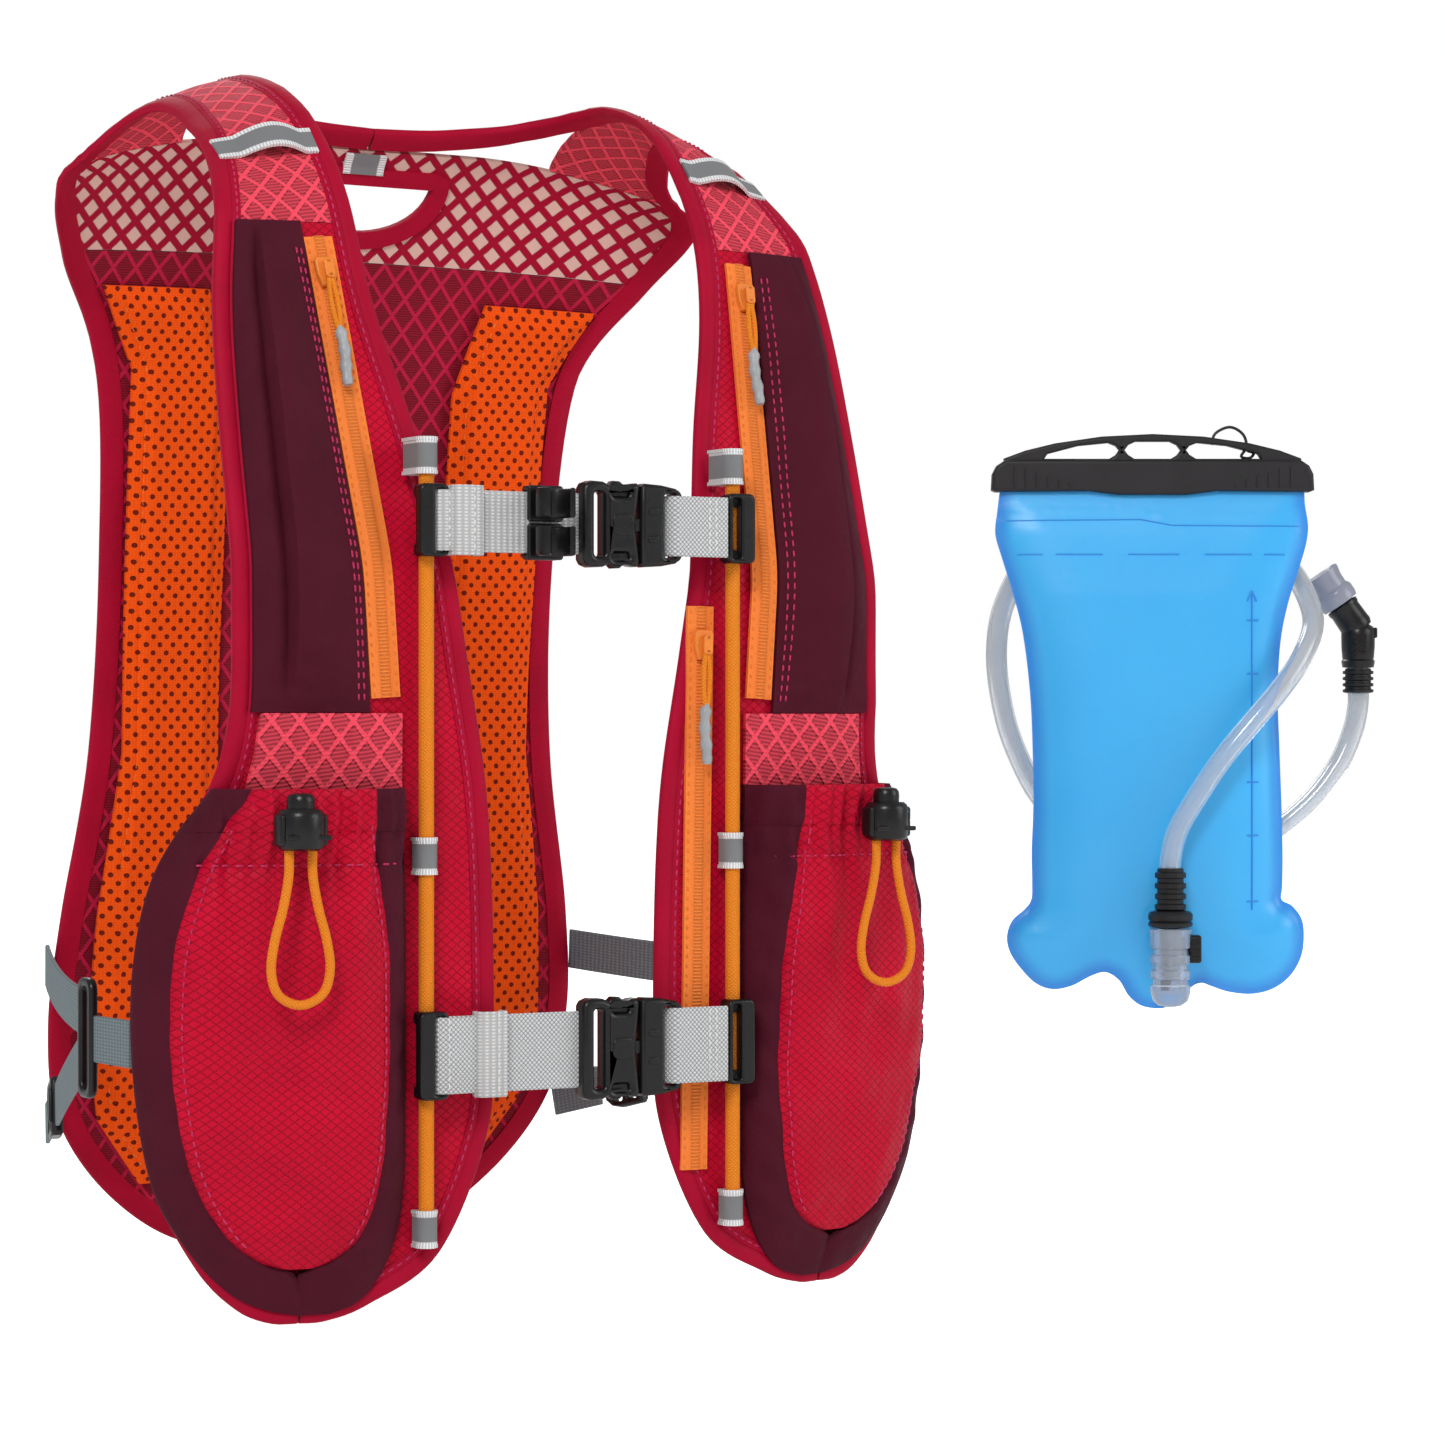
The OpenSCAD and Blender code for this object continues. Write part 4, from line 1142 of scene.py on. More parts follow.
def ribbon(path, w, t, along):
    """Webbing of width w along points in the XY plane, standing on edge, as a rounded band."""
    path = resampled(path, 1.5)
    d = np.gradient(path, axis=0)
    d /= np.linalg.norm(d, axis=1)[:, None]
    side = np.array(along, float)
    out = np.cross(d, side)
    prof = [(-w / 2, -t * 0.3), (-w / 2 + 0.4, -t / 2), (0, -t / 2), (w / 2 - 0.4, -t / 2), (w / 2, -t * 0.3),
            (w / 2, t * 0.3), (w / 2 - 0.4, t / 2), (0, t / 2), (-w / 2 + 0.4, t / 2), (-w / 2, t * 0.3)]
    n, m = len(path), len(prof)
    run = run_of(path)
    pts = np.array([path[i] + side * a + out[i] * b for i in range(n) for a, b in prof])
    uv = np.array([(a, run[i]) for i in range(n) for a, b in prof])
    return pts, ring_quads(n, m) + ring_ends(n, m), uv


def cross_stitch(x, z, w, y):
    """A row of stitches down a strap at x."""
    return [stitch_dash(np.array([x, y, low]), np.array([x, y, low + 1.9]), np.array([0, -1.0, 0]))
            for low in np.arange(z - w / 2 + 1.5, z + w / 2 - 1.5, 2.6)]


def buckle_half(w):
    """Half the height of the buckle on webbing of width w."""
    return w / 2 + 4.2


def chest_strap(tag, z, w):
    """One strap across the chest: rail frames, webbing, socket, plug and tail."""
    body, half_body = tag + "_strap", tag + "_half"
    up = np.array([0, 0, 1.0])
    at = lambda pts: [(x, y, z) for x, y in pts]
    # Ladder frames on the rails.
    parts = []
    h = w / 2 + 1.7
    for side in (1, -1):
        frame_out = rounded(side * RAIL_X - 5.2, -h, side * RAIL_X + 5.2, h, 2.2)
        inner = rounded(side * 55.2 - 1.6, -w / 2 - 0.2, side * 55.2 + 1.6, w / 2 + 0.2, 0.8)
        parts.append(moved(plate(frame_out, [inner], WEB_Y + 0.4, 4.4, 0.9), (0, 0, z)))
        for k in (-1, 1):
            eye_z = z + k * (h - 2.3)
            parts.append(moved(lathe([(3.0, -2.2), (4.0, -1.6), (4.2, 0), (4.0, 1.6), (3.0, 2.2)], 20),
                               (side * RAIL_X, RAIL_Y, eye_z)))
            parts.append(block(side * RAIL_X - 4.0, side * RAIL_X + 4.0, WEB_Y + 1, RAIL_Y + 1,
                               eye_z - 2.2, eye_z + 2.2))
    made(tag + "_rail_frames", parts, BLACK, body, "black_plastic", [tag + "_sliders"])
    # Webbing from the rail frame to the socket, with its folded end and a loose keeper.
    y = WEB_Y
    if tag == "sternum":
        fold, end, keep, knit = 3.0, -41.5, -46.3, WEBBING_SMOOTH
    else:
        fold, end, keep, knit = 1.8, -40, -37, WEBBING
    parts = [ribbon(at([(-2.4, y), (-20, y + 0.1), (-40, y), (-54, y), (-55.6, y + 1.2), (-55, y + 2.2)]),
                    w, WEB_T, up),
             ribbon(at([(-55.4, y - 0.6), (-54, y - 1.8), (-50, y - fold - 0.4), (end - 4, y - fold),
                        (end, y - 1.7), (end + 0.6, y - 0.9)]), w * 0.98, 1.4, up)]
    made(tag + "_webbing", parts, knit, body, "webbing_grey", [tag + "_web"])
    loop = ribbon(at([(keep - 4.6, y + 1.6), (keep - 5.4, y - 0.5), (keep - 4.6, y - fold - 1.9),
                      (keep, y - fold - 2.6), (keep + 4.6, y - fold - 1.9), (keep + 5.4, y - 0.5),
                      (keep + 4.6, y + 1.6)]), w + 2.6, 1.1, up)
    made(tag + "_keeper_loop", [loop], WEBBING_SMOOTH, body, "webbing_grey")
    rows = cross_stitch(keep + 1.2, z, w + 2, y - fold - 3.1) + cross_stitch(-52.6, z, w, y - 3.1)
    made(tag + "_stitches", rows, THREAD_WHITE, body, "webbing_grey")
    # Socket: a waisted frame with a bar for the webbing and open sides for the arms.
    half = buckle_half(w)
    body_line = [(-2.6, -half + 2.5), (-1.6, -half + 0.8), (0.5, -half), (5, -half + 0.2), (8, -half + 1.6),
                 (12, -half + 1.9), (15.5, -half + 0.6), (17.6, -half + 0.4), (18.5, -half + 2.0)]
    outline = [(SOCKET_X + a, b) for a, b in body_line]
    outline += [(SOCKET_X + 17.6, -half * 0.35), (SOCKET_X + 17.0, 0), (SOCKET_X + 17.6, half * 0.35)]
    outline += [(a, -b) for a, b in reversed(outline[:9])]
    window = rounded(SOCKET_X + 1.6, -w / 2 - 0.6, SOCKET_X + 5.4, w / 2 + 0.6, 1.2)
    slot_top = rounded(SOCKET_X + 8.4, half - 5.0, SOCKET_X + 14.4, half - 2.6, 1.0)
    slot_low = [(a, -b) for a, b in reversed(slot_top)]
    parts = [moved(plate(outline, [window, slot_top, slot_low], BUCKLE_Y, 7.2, 1.6), (0, 0, z))]
    ridge = rounded(SOCKET_X + 8.0, -3.6, SOCKET_X + 16.0, 3.6, 2.4)
    parts.append(moved(plate(ridge, [], BUCKLE_Y - 3.3, 1.4, 0.6), (0, 0, z)))
    made(tag + "_buckle_socket", parts, BLACK, body, "black_plastic", [tag + "_socket"])
    # Plug: shoulder, tongue and a D-shaped frame for the adjustable tail.
    px = SOCKET_X + 19.0
    top = half - 0.4
    outline = [(px, -top + 1.0), (px + 1.4, -top), (px + 8, -top + 0.4), (px + 13.4, -top + 1.4),
               (px + 15.9, -top + 4.4), (px + 16.5, 0)]
    outline += [(a, -b) for a, b in reversed(outline[:5])]
    window = rounded(px + 8.9, -w / 2 - 0.6, px + 13.6, w / 2 + 0.6, 1.4)
    parts = [moved(plate(outline, [window], BUCKLE_Y, 6.8, 1.5), (0, 0, z)),
             block(px - 10.3, px + 1, BUCKLE_Y - 2, BUCKLE_Y + 2, z - 2.4, z + 2.4, 0.7)]
    for k in (-1, 1):
        parts.append(moved(plate(rounded(px + 2.5, k * 4.6 - 1.2, px + 6.5, k * 4.6 + 1.2, 1.0), [],
                                 BUCKLE_Y - 3.2, 1.2, 0.5), (0, 0, z)))
    made(tag + "_buckle_plug", parts, BLACK, half_body, "black_plastic", [tag + "_plug"])
    # The tail passes over the plug's bar and ends at the far rail.
    tx = px + 16.8
    tail = ribbon(at([(tx + 16, TAIL_Y), (tx + 6, TAIL_Y), (tx - 1.5, TAIL_Y - 0.2),
                      (tx - 3.6, BUCKLE_Y - 3.2), (tx - 5.2, BUCKLE_Y - 0.6), (tx - 6.4, BUCKLE_Y + 1.2)]),
                  w, WEB_T, up)
    end_tail = ribbon(at([(tx + 11, TAIL_Y + 1.2), (tx + 4, TAIL_Y + 1.2), (tx - 2, TAIL_Y + 1.3)]), w * 0.97,
                      0.8, up)
    made(tag + "_tail_webbing", [tail, end_tail], WEBBING, half_body, "webbing_grey", [tag + "_tail"])
    rows = cross_stitch(tx + 9, z, w, TAIL_Y - 0.9) + cross_stitch(tx + 11.5, z, w, TAIL_Y - 0.9)
    made(tag + "_tail_stitches", rows, THREAD_WHITE, half_body, "webbing_grey")


def prong(z, w, up, name, body):
    """Springy arm: an eye on the plug and a curved pressing tip showing at the socket's side."""
    arm = [(1.8, -1.4), (1.9, 1.2), (0.2, 2.0), (-3.0, 2.3), (-5.2, 4.0), (-7.6, 4.1), (-9.2, 2.6),
           (-9.6, 0.4), (-8.8, -1.3), (-6, -1.4), (-2, -1.7)]
    ring = [(a, up * b) for a, b in arm]
    part = moved(plate(ring if up < 0 else ring[::-1], [], BUCKLE_Y, 4.1, 0.7),
                 (SOCKET_X + 16.8, 0, z + up * (buckle_half(w) - 3.9)))
    made(name + "_arm", [part], BLACK, body, "black_plastic", [name])


for tag, z, w in STRAPS:
    chest_strap(tag, z, w)
for tag, z, w in STRAPS:
    for up, end in ((1, "top"), (-1, "bottom")):
        prong(z, w, up, tag + "_prong_" + end, tag + "_" + end)

# ---- hose clip: two stacked halves on the webbing, each with an open ring ----

CLIP_X = -17.5
CLIP_Y = WEB_Y - 9.2
CLIP_Z = STRAPS[0][1]
parts = []
for k in (-1, 1):
    z0 = CLIP_Z + k * 6.2
    parts.append(block(CLIP_X - 6.4, CLIP_X + 6.4, WEB_Y - 2.8, WEB_Y - 0.95, z0 - 5.9, z0 + 5.9, 0.6))
    parts.append(block(CLIP_X - 6.4, CLIP_X + 6.4, WEB_Y + 0.95, WEB_Y + 2.4, z0 - 5.9, z0 + 5.9, 0.5))
    a = np.radians(np.linspace(-48, 228, 36))
    arc = [(r * math.cos(q), r * math.sin(q)) for r, turn in ((6.5, a), (5.05, a[::-1])) for q in turn]
    ring, faces, _ = plate(arc, [], 0, 9.6, 0.6)
    ring = np.stack([ring[:, 0] + CLIP_X, ring[:, 2] + CLIP_Y, ring[:, 1] + z0], axis=1)
    parts.append((ring, faces, None))
for x in (CLIP_X - 5.6, CLIP_X + 5.6):
    for low, high in ((-12, -10.4), (10.4, 12)):
        parts.append(block(x - 0.8, x + 0.8, WEB_Y - 2.2, WEB_Y + 2.0, CLIP_Z + low, CLIP_Z + high, 0.4))
made("hose_clip_halves", parts, BLACK, "clip", "black_plastic", ["hose_clip"])

# ---- cord locks ----

LOCK = np.array([108, -192, -240.0])
BARREL = [(5.6, 0.0), (7.0, 0.7), (7.5, 2.0), (7.5, 10.6), (7.0, 12.2), (6.0, 13.0), (4.65, 13.0), (4.55, 12.4),
          (4.55, 3.2), (0.5, 3.0)]
KNOB = [(3.4, 7.5), (4.3, 7.8), (4.4, 13.4), (4.45, 15.2), (4.3, 16.6), (3.6, 17.6), (2.2, 18.0)]
for side, tag in SIDES:
    parts = [lathe(BARREL, 36), block(-8.2, -1.8, -3.4, 3.4, 1.2, 11.6, 1.4),
             block(1.8, 8.2, -3.4, 3.4, 1.2, 11.6, 1.4), block(-7.8, 7.8, -6.9, -5.6, 3.4, 5.0, 0.5)]
    place = LOCK * (side, 1, 1)
    made("cord_lock_barrel_" + tag, [moved(p, place) for p in parts], BLACK, "vest", "black_plastic",
         ["cord_lock_" + tag])
    made("lock_knob_" + tag, [moved(lathe(KNOB, 32), place)], BLACK, "button_" + tag, "black_plastic",
         ["lock_button_" + tag])

# ---- side straps, rings and ladder locks ----

RING = np.array([149, -115, -302.0])
RING_LOW = RING + (-1, 8.6, -8)
LOW_END = np.array([104, 44, -346.0])
SIDE_W = 15


def strap3d(a, b, w, t, sag=0.0):
    """Webbing between two points, standing on edge, with a slight bow outward."""
    a, b = np.array(a, float), np.array(b, float)
    k = np.linspace(0, 1, 14)
    path = a + (b - a) * k[:, None] + np.outer(4 * k * (1 - k), [sag, 0, -abs(sag)])
    d = unit(b - a)
    out = unit(np.cross(d, (0, 0, 1)))
    return ribbon(path, w, t, unit(np.cross(out, d)))


for side, tag in SIDES:
    flip = lambda part: (np.asarray(part[0]) * (side, 1, 1), part[1], part[2])
    tail_at = lambda t: RING_LOW + (LOW_END - RING_LOW) * t
    parts = [strap3d((147, -148, -302), (148.5, -121.3, -302), SIDE_W, 1.6),
             strap3d((145.6, -146, -302), (147, -127, -302), SIDE_W * 0.98, 1.3),
             strap3d(RING + (-1, 7, 8), (107, 36, -288), SIDE_W, 1.6, 1.5),
             strap3d(RING_LOW, tail_at(0.68), SIDE_W, 1.6, 1.0),
             strap3d(tail_at(0.84), LOW_END, SIDE_W, 1.6)]
    made("side_webbing_" + tag, [flip(p) for p in parts], SIDE_WEB, "vest", "webbing_slate",
         ["side_strap_" + tag])
    ring, faces, _ = plate(rounded(-6, -19.5, 6, 19.5, 4), [rounded(-3, -16.5, 3, 16.5, 2.4)], 0, 3.0, 1.1)
    ring = (ring[:, [1, 0, 2]] + RING, faces, None)
    made("side_ring_" + tag, [flip(ring)], BLACK, "vest", "black_plastic", ["side_rings"])
    d = LOW_END - RING_LOW
    turn = Euler((0, -math.asin(d[2] / np.linalg.norm(d)), math.atan2(d[1], d[0])))
    lock_line = [(0, -9), (1.4, -10.4), (12, -10.5), (17, -9.2), (20, -6.6)]
    lock_line += [(a, -b) for a, b in reversed(lock_line)]
    lock = plate(lock_line, [rounded(3, -7.9, 8, 7.9, 1.2), rounded(11, -7.9, 16, 7.9, 1.2)], 0, 4.4, 1.2)
    bar = block(-0.4, 2.0, -2.9, -1.4, -6, 6, 0.5)
    parts = [flip(moved(p, tail_at(0.69), turn)) for p in (lock, bar)]
    made("ladder_frame_" + tag, parts, BLACK, "ladder_" + tag, "black_plastic", ["ladder_lock_" + tag])

# ---- zip sliders and pulls ----

SLIDER_O = 4.75


def on_zip(ends):
    """Turn and place of a slider near the top of a zip."""
    (h0, x0), (h1, x1) = ends
    a = skin(x1, h1 - 8, SLIDER_O)
    b = skin(x1 - (x1 - x0) / (h1 - h0) * 40, h1 - 48, SLIDER_O)
    d = unit(a - b)
    return Euler((-math.asin(d[1]), math.atan2(d[0], d[2]), 0), "XYZ"), a


for tag, ends, side in ZIPS:
    turn, base = on_zip(ends)
    grip = np.array(turn.to_matrix()).T
    place = lambda part: ((np.asarray(part[0]) @ grip + base) * (side, 1, 1), part[1], part[2])
    outline = [(-3.5, -1.2), (-2.6, 0), (2.6, 0), (3.5, -1.2), (3.3, -6), (2.2, -10), (-2.2, -10), (-3.3, -6)]
    parts = [plate(outline[::-1], [], -1.1, 2.2, 0.5),
             block(-1.0, 1.0, -4.8, -2.2, -8, -6.4, 0.4), block(-1.0, 1.0, -4.8, -2.2, -3.4, -1.8, 0.4),
             block(-1.7, 1.7, -4.8, -3.9, -8.2, -1.8, 0.35)]
    made("zip_slider_body_" + tag, [place(p) for p in parts], ZIP_PAINT, "zip_%s_slider" % tag, "zip_metal",
         ["zip_slider_" + tag])
    z = np.linspace(-6.2, -27, 24)
    bow = np.sin((z + 6.2) / -20.8 * PI) * 0.9
    strands = [tube_mesh(np.stack([s * (0.25 + bow), np.full(24, -3.45), z], axis=1), 0.85, 10)
               for s in (-1, 1)]
    made("zip_pull_cord_" + tag, [place(p) for p in strands], CORD_MAT, "pull_" + tag, "rail_cord",
         ["zip_pull_" + tag])
    tip_z = np.linspace(-24.5, -45, 20)
    fat = 1.9 + 0.25 * np.sin(tip_z * 1.1) - 0.9 * bell(tip_z + 24.5, 1.6) - 0.7 * bell(tip_z + 45, 1.4)
    tip = tube_mesh(np.stack([0.5 * np.sin(tip_z / 4), np.full(20, -3.45), tip_z], axis=1), fat, 14)
    made("zip_pull_sleeve_" + tag, [place(tip)], SHRINK, "pull_" + tag, "webbing_grey", ["zip_pull_" + tag])

# ---------------------------------------------------------------- reservoir

BAG_AT = np.array([495, 184, -200.0])
BAG_TURN = math.radians(-30)
DOCK = np.array(Euler((0, 0, BAG_TURN)).to_matrix()).T
dock = lambda part: (np.asarray(part[0], float) @ DOCK + BAG_AT, part[1], part[2])
dock_pt = lambda p: np.asarray(p, float) @ DOCK + BAG_AT

BAG_LINE = [(60, 114), (67, 114), (70, 113.4), (71.6, 110.5), (72, 103), (73.5, 93), (72.5, 84), (69, 72),
            (64, 56), (60.5, 38), (59.2, 14), (60, -12), (61, -40), (61.5, -62), (61.3, -77), (61, -83.5),
            (66, -86.5), (70.6, -93), (71.5, -102), (70, -111), (65, -119.5), (57, -125.5), (47, -128),
            (36, -127), (28, -124.4), (23, -122.8), (18.5, -124.8), (15, -129.5), (9, -133.4), (3, -134.8),
            (-5, -133.6), (-11, -129), (-15.6, -121.6), (-22, -117.8), (-29, -119.6), (-38, -124.2),
            (-47, -125.8), (-55, -123), (-62, -116), (-67, -108.5), (-68.5, -101), (-66, -93.5), (-60, -88),
            (-57, -83.5), (-56.6, -76), (-56.8, -60), (-56, -38), (-56.4, -12), (-57.6, 14), (-61, 42),
            (-66, 62), (-71, 78), (-74, 89), (-73, 100), (-71.6, 110.5), (-70, 113.4), (-67, 114), (-60, 114)]


BAG_RING = closed_curve(BAG_LINE, 5)


def edge_distance(pts):
    """How far each point (x, z) is from the bag's edge."""
    best = np.full(len(pts), 1e9)
    for p0, v in zip(BAG_RING, np.roll(BAG_RING, -1, axis=0) - BAG_RING):
        t = np.clip(((pts - p0) @ v) / max(v @ v, 1e-9), 0, 1)
        best = np.minimum(best, np.linalg.norm(pts - p0 - t[:, None] * v, axis=1))
    return best


SWELL_AT = table([(-136, 0.35), (-120, 0.55), (-100, 0.85), (-60, 1.0), (20, 1.0), (60, 0.85), (90, 0.45),
                  (104, 0.16), (121, 0.10)])
PORT = (6, -23)


def bag_half(pts, d, front):
    """Half thickness of the bag at (x, z), with its welded rim and pressed lines."""
    x, z = pts[:, 0], pts[:, 1]
    full = 10.6 * SWELL_AT(z)
    t = 0.45 + full * np.sqrt(1 - (1 - np.clip((d - 3.2) / 30, 0, 1)) ** 2)
    t += 0.35 * bell(d - 2.7, 0.7)
    if front:
        t += 0.45 * bell(z - 98 + 2.4 * ramp(x, -5, 12) - 0.004 * x ** 2 * 0.15, 0.9) * (d > 2)
        r = np.hypot(x - PORT[0], (z + 112) / 1.9)
        t += 0.55 * (0.5 + 0.5 * np.cos(2 * PI * r / 4.2)) * ramp(r, 9, 12) * (1 - ramp(r, 19, 23))
        t += 0.5 * crease(x * 0.45, z * 0.5, 2.0) * ramp(d, 4, 20)
    return t


def bag_mesh():
    """The filled bag: a triangulated sheet of its outline, once for the front and once for the back."""
    ring = BAG_RING
    step = 2.3
    gx, gz = np.meshgrid(np.arange(-78, 78, step), np.arange(-138, 124, step))
    gx[::2] += step / 2
    inner = np.stack([gx.ravel(), gz.ravel()], axis=1)
    crossings = np.zeros(len(inner), int)
    nxt = np.roll(ring, -1, axis=0)
    for (ax, az), (bx, bz) in zip(ring, nxt):
        hit = ((az > inner[:, 1]) != (bz > inner[:, 1]))
        if abs(bz - az) > 1e-9:
            crossings += hit & (inner[:, 0] < ax + (inner[:, 1] - az) / (bz - az) * (bx - ax))
    inside = inner[crossings % 2 == 1]
    inside = inside[edge_distance(inside) > 1.0]
    n = len(ring)
    pts2 = [Vector(p) for p in np.concatenate([ring, inside])]
    edges = [(i, (i + 1) % n) for i in range(n)]
    verts, _, tris, _, _, _ = geometry.delaunay_2d_cdt(pts2, edges, [], 1, 1e-6)
    flat2 = np.array([(v.x, v.y) for v in verts])
    d = edge_distance(flat2)
    front = np.stack([flat2[:, 0], -bag_half(flat2, d, True), flat2[:, 1]], axis=1)
    back = np.stack([flat2[:, 0], bag_half(flat2, d, False), flat2[:, 1]], axis=1)
    m = len(flat2)
    faces = [tuple(f) for f in tris] + [tuple(k + m for k in reversed(f)) for f in tris]
    near = {tuple(np.round(p, 4)): i for i, p in enumerate(flat2)}
    order = [near[tuple(np.round(p, 4))] for p in ring if tuple(np.round(p, 4)) in near]
    for a, b in zip(order, order[1:] + order[:1]):
        faces.append((a, b, b + m, a + m))
    uv = np.stack([np.concatenate([d, d]), np.concatenate([flat2[:, 1], flat2[:, 1]])], axis=1)
    return np.concatenate([front, back]), faces, uv


bag = made("reservoir_film", [dock(bag_mesh())], BAG_FILM, "reservoir", "bag_film", ["reservoir_bag"], 60)


def on_bag(x, z):
    """Y of the bag's front face, before it is docked."""
    p = np.array([[x, z]], float)
    return -float(bag_half(p, edge_distance(p), True)[0])


marks = []


def mark(x0, z0, x1, z1, r=0.45):
    """A thin raised line on the bag's front."""
    k = np.linspace(0, 1, max(int(math.hypot(x1 - x0, z1 - z0) / 4), 3))
    line = np.array([(x0 + (x1 - x0) * a, on_bag(x0 + (x1 - x0) * a, z0 + (z1 - z0) * a) - 0.1,
                      z0 + (z1 - z0) * a) for a in k])
    marks.append(dock(tube_mesh(line, r, 8, ref=(0, 1, 0.01))))


mark(46, -88, 46, 62)
for z in (-84, -53, -28, -2, 23, 48):
    mark(43.5, z, 49, z)
mark(46, 62, 43.8, 57)
mark(46, 62, 48.2, 57)
for x0, x1 in ((-64, -52), (-46, -24), (-12, 12), (24, 46), (52, 62)):
    mark(x0, 79, x1, 79, 0.35)
for x0, z0, x1, z1 in ((-69, 95, -6, 95.6), (-6, 95.6, 9, 92.8), (9, 92.8, 69, 92.4)):
    mark(x0, z0, x1, z1, 0.3)
made("graduation_lines", marks, BAG_FILM, "reservoir", "bag_film")

# ---- slide bar ----

jaw = [(-76, 109.4), (-74, 108.6), (-30, 109), (-16, 107.2), (16, 107.2), (30, 109), (74, 108.6), (76, 109.4),
       (75.6, 117), (73.6, 121), (69.5, 123.7), (-69.5, 123.7), (-73.6, 121), (-75.6, 117)]
arch = [(-70.5, 120), (70.5, 120), (70, 124.5), (60, 128.2), (46, 131.6), (24, 134.8), (0, 136), (-24, 134.8),
        (-46, 131.6), (-60, 128.2), (-70, 124.5)]
left_hole = [(-51, 124.3), (-20.5, 124.3), (-17.4, 126.2), (-15.8, 128.4), (-17.4, 130.4), (-21, 131.8),
             (-35, 130.4), (-49.5, 126.6)]
right_hole = [(-a, b) for a, b in reversed(left_hole)]
mid_hole = [(-13.2, 128.4), (-11.6, 126.2), (-8.6, 124.3), (8.6, 124.3), (11.6, 126.2), (13.2, 128.4),
            (11.4, 130.8), (8, 132.4), (-8, 132.4), (-11.4, 130.8)]
parts = [plate(jaw, [], 0, 10, 1.6), plate(arch, [left_hole, mid_hole, right_hole], 0, 6.6, 1.3)]
for side in (-1, 1):
    for k in range(6):
        x = side * (65 - 5.2 * k)
        parts += [block(x - 0.55, x + 0.55, y - 0.5, y + 0.5, 110.6, 121 - 1.7 * k, 0.3) for y in (-5.1, 5.1)]
tether = faired([(28, 0, 131), (30, 1, 136.5), (37, 2, 139.5), (43, 1, 136), (44.5, 0, 130), (42, 0, 125.6),
                 (46, 1.5, 124.8), (48, 0.5, 127), (45, -1, 128)], 5)
parts.append(tube_mesh(tether, 0.7, 8, ref=(0, 1, 0.02)))
made("slide_bar_rail", [dock(p) for p in parts], BAR_PLASTIC, "bar", "bar_plastic", ["slide_bar"])

# ---- port, plug and button ----

at_port = lambda part: dock(moved(part, (*PORT, 0)))
socket_line = [(1.5, -132.6), (5.5, -131.8), (8.2, -129.6), (9.3, -126)]
for z in (-122.6, -115.6, -108.6):
    socket_line += [(9.4, z), (8.3, z + 0.6), (8.3, z + 3), (9.4, z + 3.6)]
socket_line += [(9.5, -98.5), (9.9, -97.6), (9.9, -96.4), (9.3, -96), (5.4, -96), (5.3, -119.6), (1.0, -120.2)]
parts = [at_port(lathe(socket_line, 40)), dock(block(2.5, 9.5, -18.4, -9, -126, -104, 1.4))]
made("port_socket", parts, CLEAR, "reservoir", "clear_plastic", ["hose_port"])

stem = [(1.2, -119), (4.2, -118.6), (5.0, -117.6), (5.0, -95.6), (8.4, -95.4), (10.1, -94.8), (10.4, -93.4),
        (9.6, -92.6), (10.3, -91.8), (10.4, -89.4), (9.4, -88.1), (7.6, -87.6), (6.0, -87.4)]
parts = [at_port(lathe(stem, 40))]
plug = made("plug_collar", parts, RUBBER, "hose_set", "black_plastic", ["hose_plug"])
button = [dock(block(14.2, 20.2, -26.6, -19.4, -112, -99, 1.2))]
button += [dock(block(14.4, 19.8, -27.2, -26.0, z, z + 1.2, 0.3)) for z in (-110, -106.6, -103.2)]
made("release_tab", button, BLACK, "release", "black_plastic", ["release_button"])

# ---- hose, sleeves, elbow and bite valve ----

hose_path = dock_pt(resampled(faired(HOSE_ROUTE, 8), 3.0))


def hollow_tube(path, r_out, r_in, sides):
    """Tube with a real wall, closed by rings at its ends."""
    ref = tuple(DOCK[1])
    outer, faces, uv = tube_mesh(path, r_out, sides, False, ref)
    inner, more, _ = tube_mesh(path, r_in, sides, False, ref)
    n = len(outer)
    faces = list(faces) + [tuple(k + n for k in reversed(f)) for f in more]
    for start in (0, (len(path) - 1) * sides):
        for k in range(sides):
            m = (k + 1) % sides
            faces.append((start + k, start + m, n + start + m, n + start + k))
    return np.concatenate([outer, inner]), faces, np.concatenate([uv, uv])


hose = made("drinking_hose", [hollow_tube(hose_path, 5.0, 3.1, 24)], HOSE_CLEAR, "hose_set", "hose_clear",
            ["hose"], 80)

rib_line = [(5.2, 0)]
for k in range(4):
    z0 = 0.4 + k * 4.9
    rib_line += [(6.2, z0), (7.3, z0 + 0.5), (7.3, z0 + 2.6), (6.2, z0 + 3.1), (6.1, z0 + 4.6)]
rib_line += [(5.2, 20)]
small = [(r, z * 0.6) for r, z in rib_line]
parts = [dock(moved(lathe(rib_line, 32), (*PORT, -87.8))), dock(moved(lathe(small, 32), (102, 30, 14)))]
sleeves = made("hose_bend_sleeves", parts, RUBBER, "hose_set", "black_rubber", ["hose_sleeves"])

MOUTH = HOSE_ROUTE[-1]
BEND = (*MOUTH[:2], MOUTH[2] + 17.9)
TILT = (0, math.radians(-35), 0)
at_mouth = lambda part: dock(moved(part, MOUTH))
tilted = lambda part: dock(moved(part, BEND, TILT))
lower = [(5.5, -0.8), (7.4, -0.6), (8.0, 2.4), (7.3, 3.2), (7.5, 4), (7.9, 9), (8.0, 15), (7.9, 17),
         (7.0, 19), (4.5, 20.5)]
upper = [(4.5, -1.6), (7.0, -0.6), (7.8, 1.5), (7.6, 4), (7.4, 11), (7.9, 12), (7.9, 13.6), (6.0, 14)]
parts = [at_mouth(lathe(lower, 36)), tilted(lathe(upper, 36))]
parts += [at_mouth(block(-3, 3, -8.6, -7.3, z, z + 1.1, 0.3)) for z in (6, 8.4, 10.8, 13.2)]
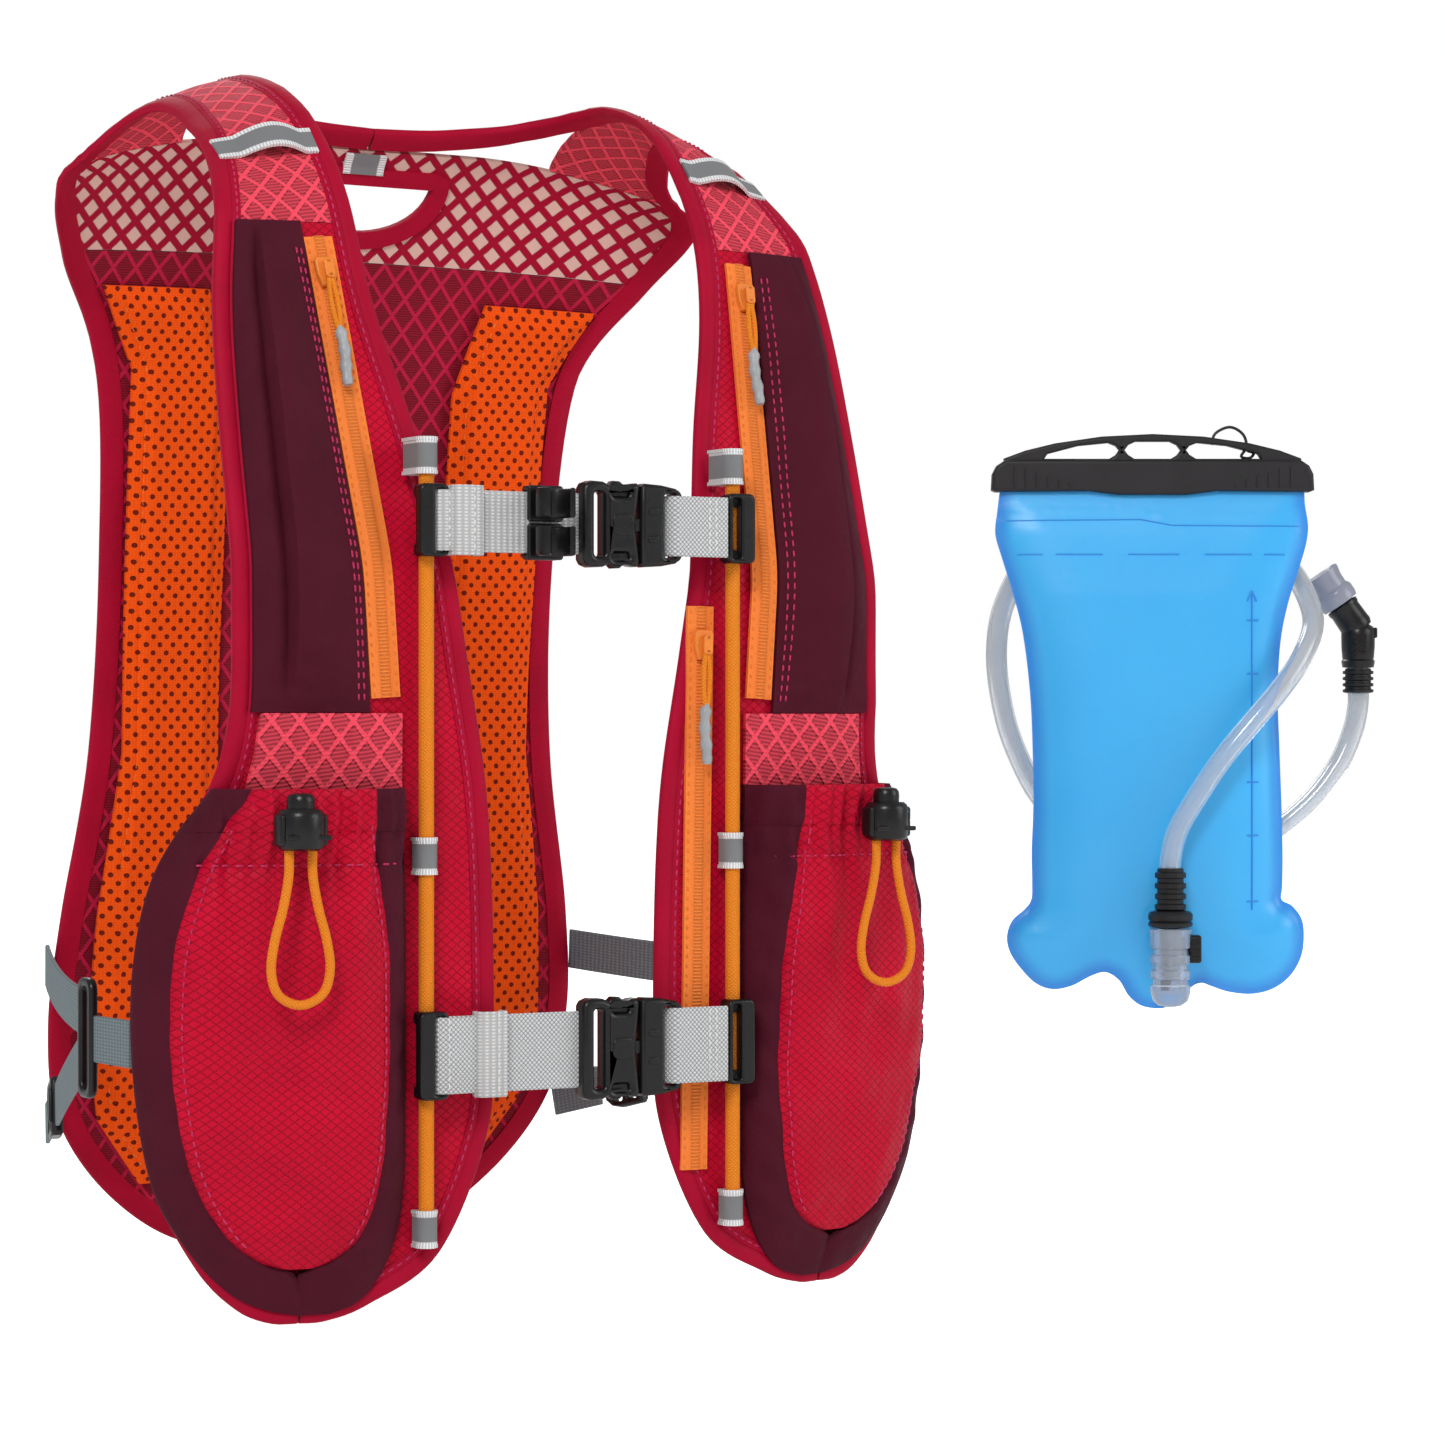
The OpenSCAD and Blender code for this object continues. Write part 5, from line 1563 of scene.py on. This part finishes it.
parts.append(at_mouth(block(6.4, 9.0, -2.2, 2.2, 13.5, 18.5, 0.6)))
elbow = made("mouth_elbow", parts, BLACK, "valve", "black_plastic", ["elbow"])
cup = [(5.8, 14.2), (9.0, 14.6), (9.5, 16.4), (9.6, 20.2), (9.1, 21.4), (8.2, 22.6), (8.4, 27), (9.2, 30.6),
       (9.2, 31.8), (8.4, 32.2), (7.2, 31.6), (6.4, 25.5), (0.6, 25)]
parts = [tilted(lathe(cup, 40)), tilted(block(-6.2, 6.2, -0.9, 0.9, 25, 30.6, 0.4)),
         tilted(block(-0.9, 0.9, -6, 6, 25, 29.4, 0.4))]
bite = made("bite_valve_cup", parts, SILICONE, "valve", "silicone", ["bite_valve"])

for side, tag in SIDES:
    path = resampled(faired(LOOP_ROUTE, 8), 1.4) + LOCK * (side, 1, 1)
    loop = made("lock_loop_" + tag, [tube_mesh(path, 1.5, 14)], CORD_MAT, "vest", "rail_cord", ["lock_cords"],
                80)

# ---------------------------------------------------------------- floor and light


HEART = (0.15, 0.0, -0.2)
LIGHTS = (("key", (-1.6, -2.0, 1.6), 44, 1.0), ("fill", (1.8, -1.6, 0.6), 15, 1.4),
          ("back", (0.6, 2.2, 1.5), 20, 1.4))


def add_light(name, location, power, size):
    """A round soft light that faces the middle of the object."""
    data = bpy.data.lights.new(name, "AREA")
    data.energy = power
    data.shape = "DISK"
    data.size = size
    light = bpy.data.objects.new(name, data)
    light.location = location
    aim = Vector(HEART) - Vector(location)
    light.rotation_euler = aim.to_track_quat("-Z", "Y").to_euler()
    bpy.context.scene.collection.objects.link(light)


def add_floor():
    look = Look("studio_floor", (0.93, 0.93, 0.93), 0.9, Specular_IOR_Level=0.05)
    look.bsdf.inputs["Emission Color"].default_value = (1, 1, 1, 1)
    ray = look.node("ShaderNodeLightPath")
    look.put(look.bsdf.inputs["Emission Strength"],
             look.math("MULTIPLY_ADD", ray.outputs["Is Camera Ray"], 0.65, 0.15))
    look.color(look.mix(look.noise(3, 2), (0.92, 0.92, 0.92), (0.95, 0.95, 0.95)))
    low = cad_box[0][2] / MM - 12
    corners = [(x * 6000, y * 6000, low) for x, y in ((-1, -1), (1, -1), (1, 1), (-1, 1))]
    add_mesh("floor", corners, [(0, 1, 2, 3)], look.mat, smooth=False)


def add_world():
    """White behind the object, and a dimmer even light from all round."""
    world = bpy.data.worlds.new("studio")
    bpy.context.scene.world = world
    world.use_nodes = True
    tree = world.node_tree
    seen = tree.nodes["Background"]
    seen.inputs["Color"].default_value = (1, 1, 1, 1)
    seen.inputs["Strength"].default_value = 1.0
    even = tree.nodes.new("ShaderNodeBackground")
    even.inputs["Color"].default_value = (1, 1, 1, 1)
    even.inputs["Strength"].default_value = 0.42
    ray = tree.nodes.new("ShaderNodeLightPath")
    mix = tree.nodes.new("ShaderNodeMixShader")
    tree.links.new(ray.outputs["Is Camera Ray"], mix.inputs[0])
    tree.links.new(even.outputs[0], mix.inputs[1])
    tree.links.new(seen.outputs[0], mix.inputs[2])
    tree.links.new(mix.outputs[0], tree.nodes["World Output"].inputs[0])


add_world()
add_floor()
for setting in LIGHTS:
    add_light(*setting)

bpy.context.scene.view_settings.view_transform = "Standard"
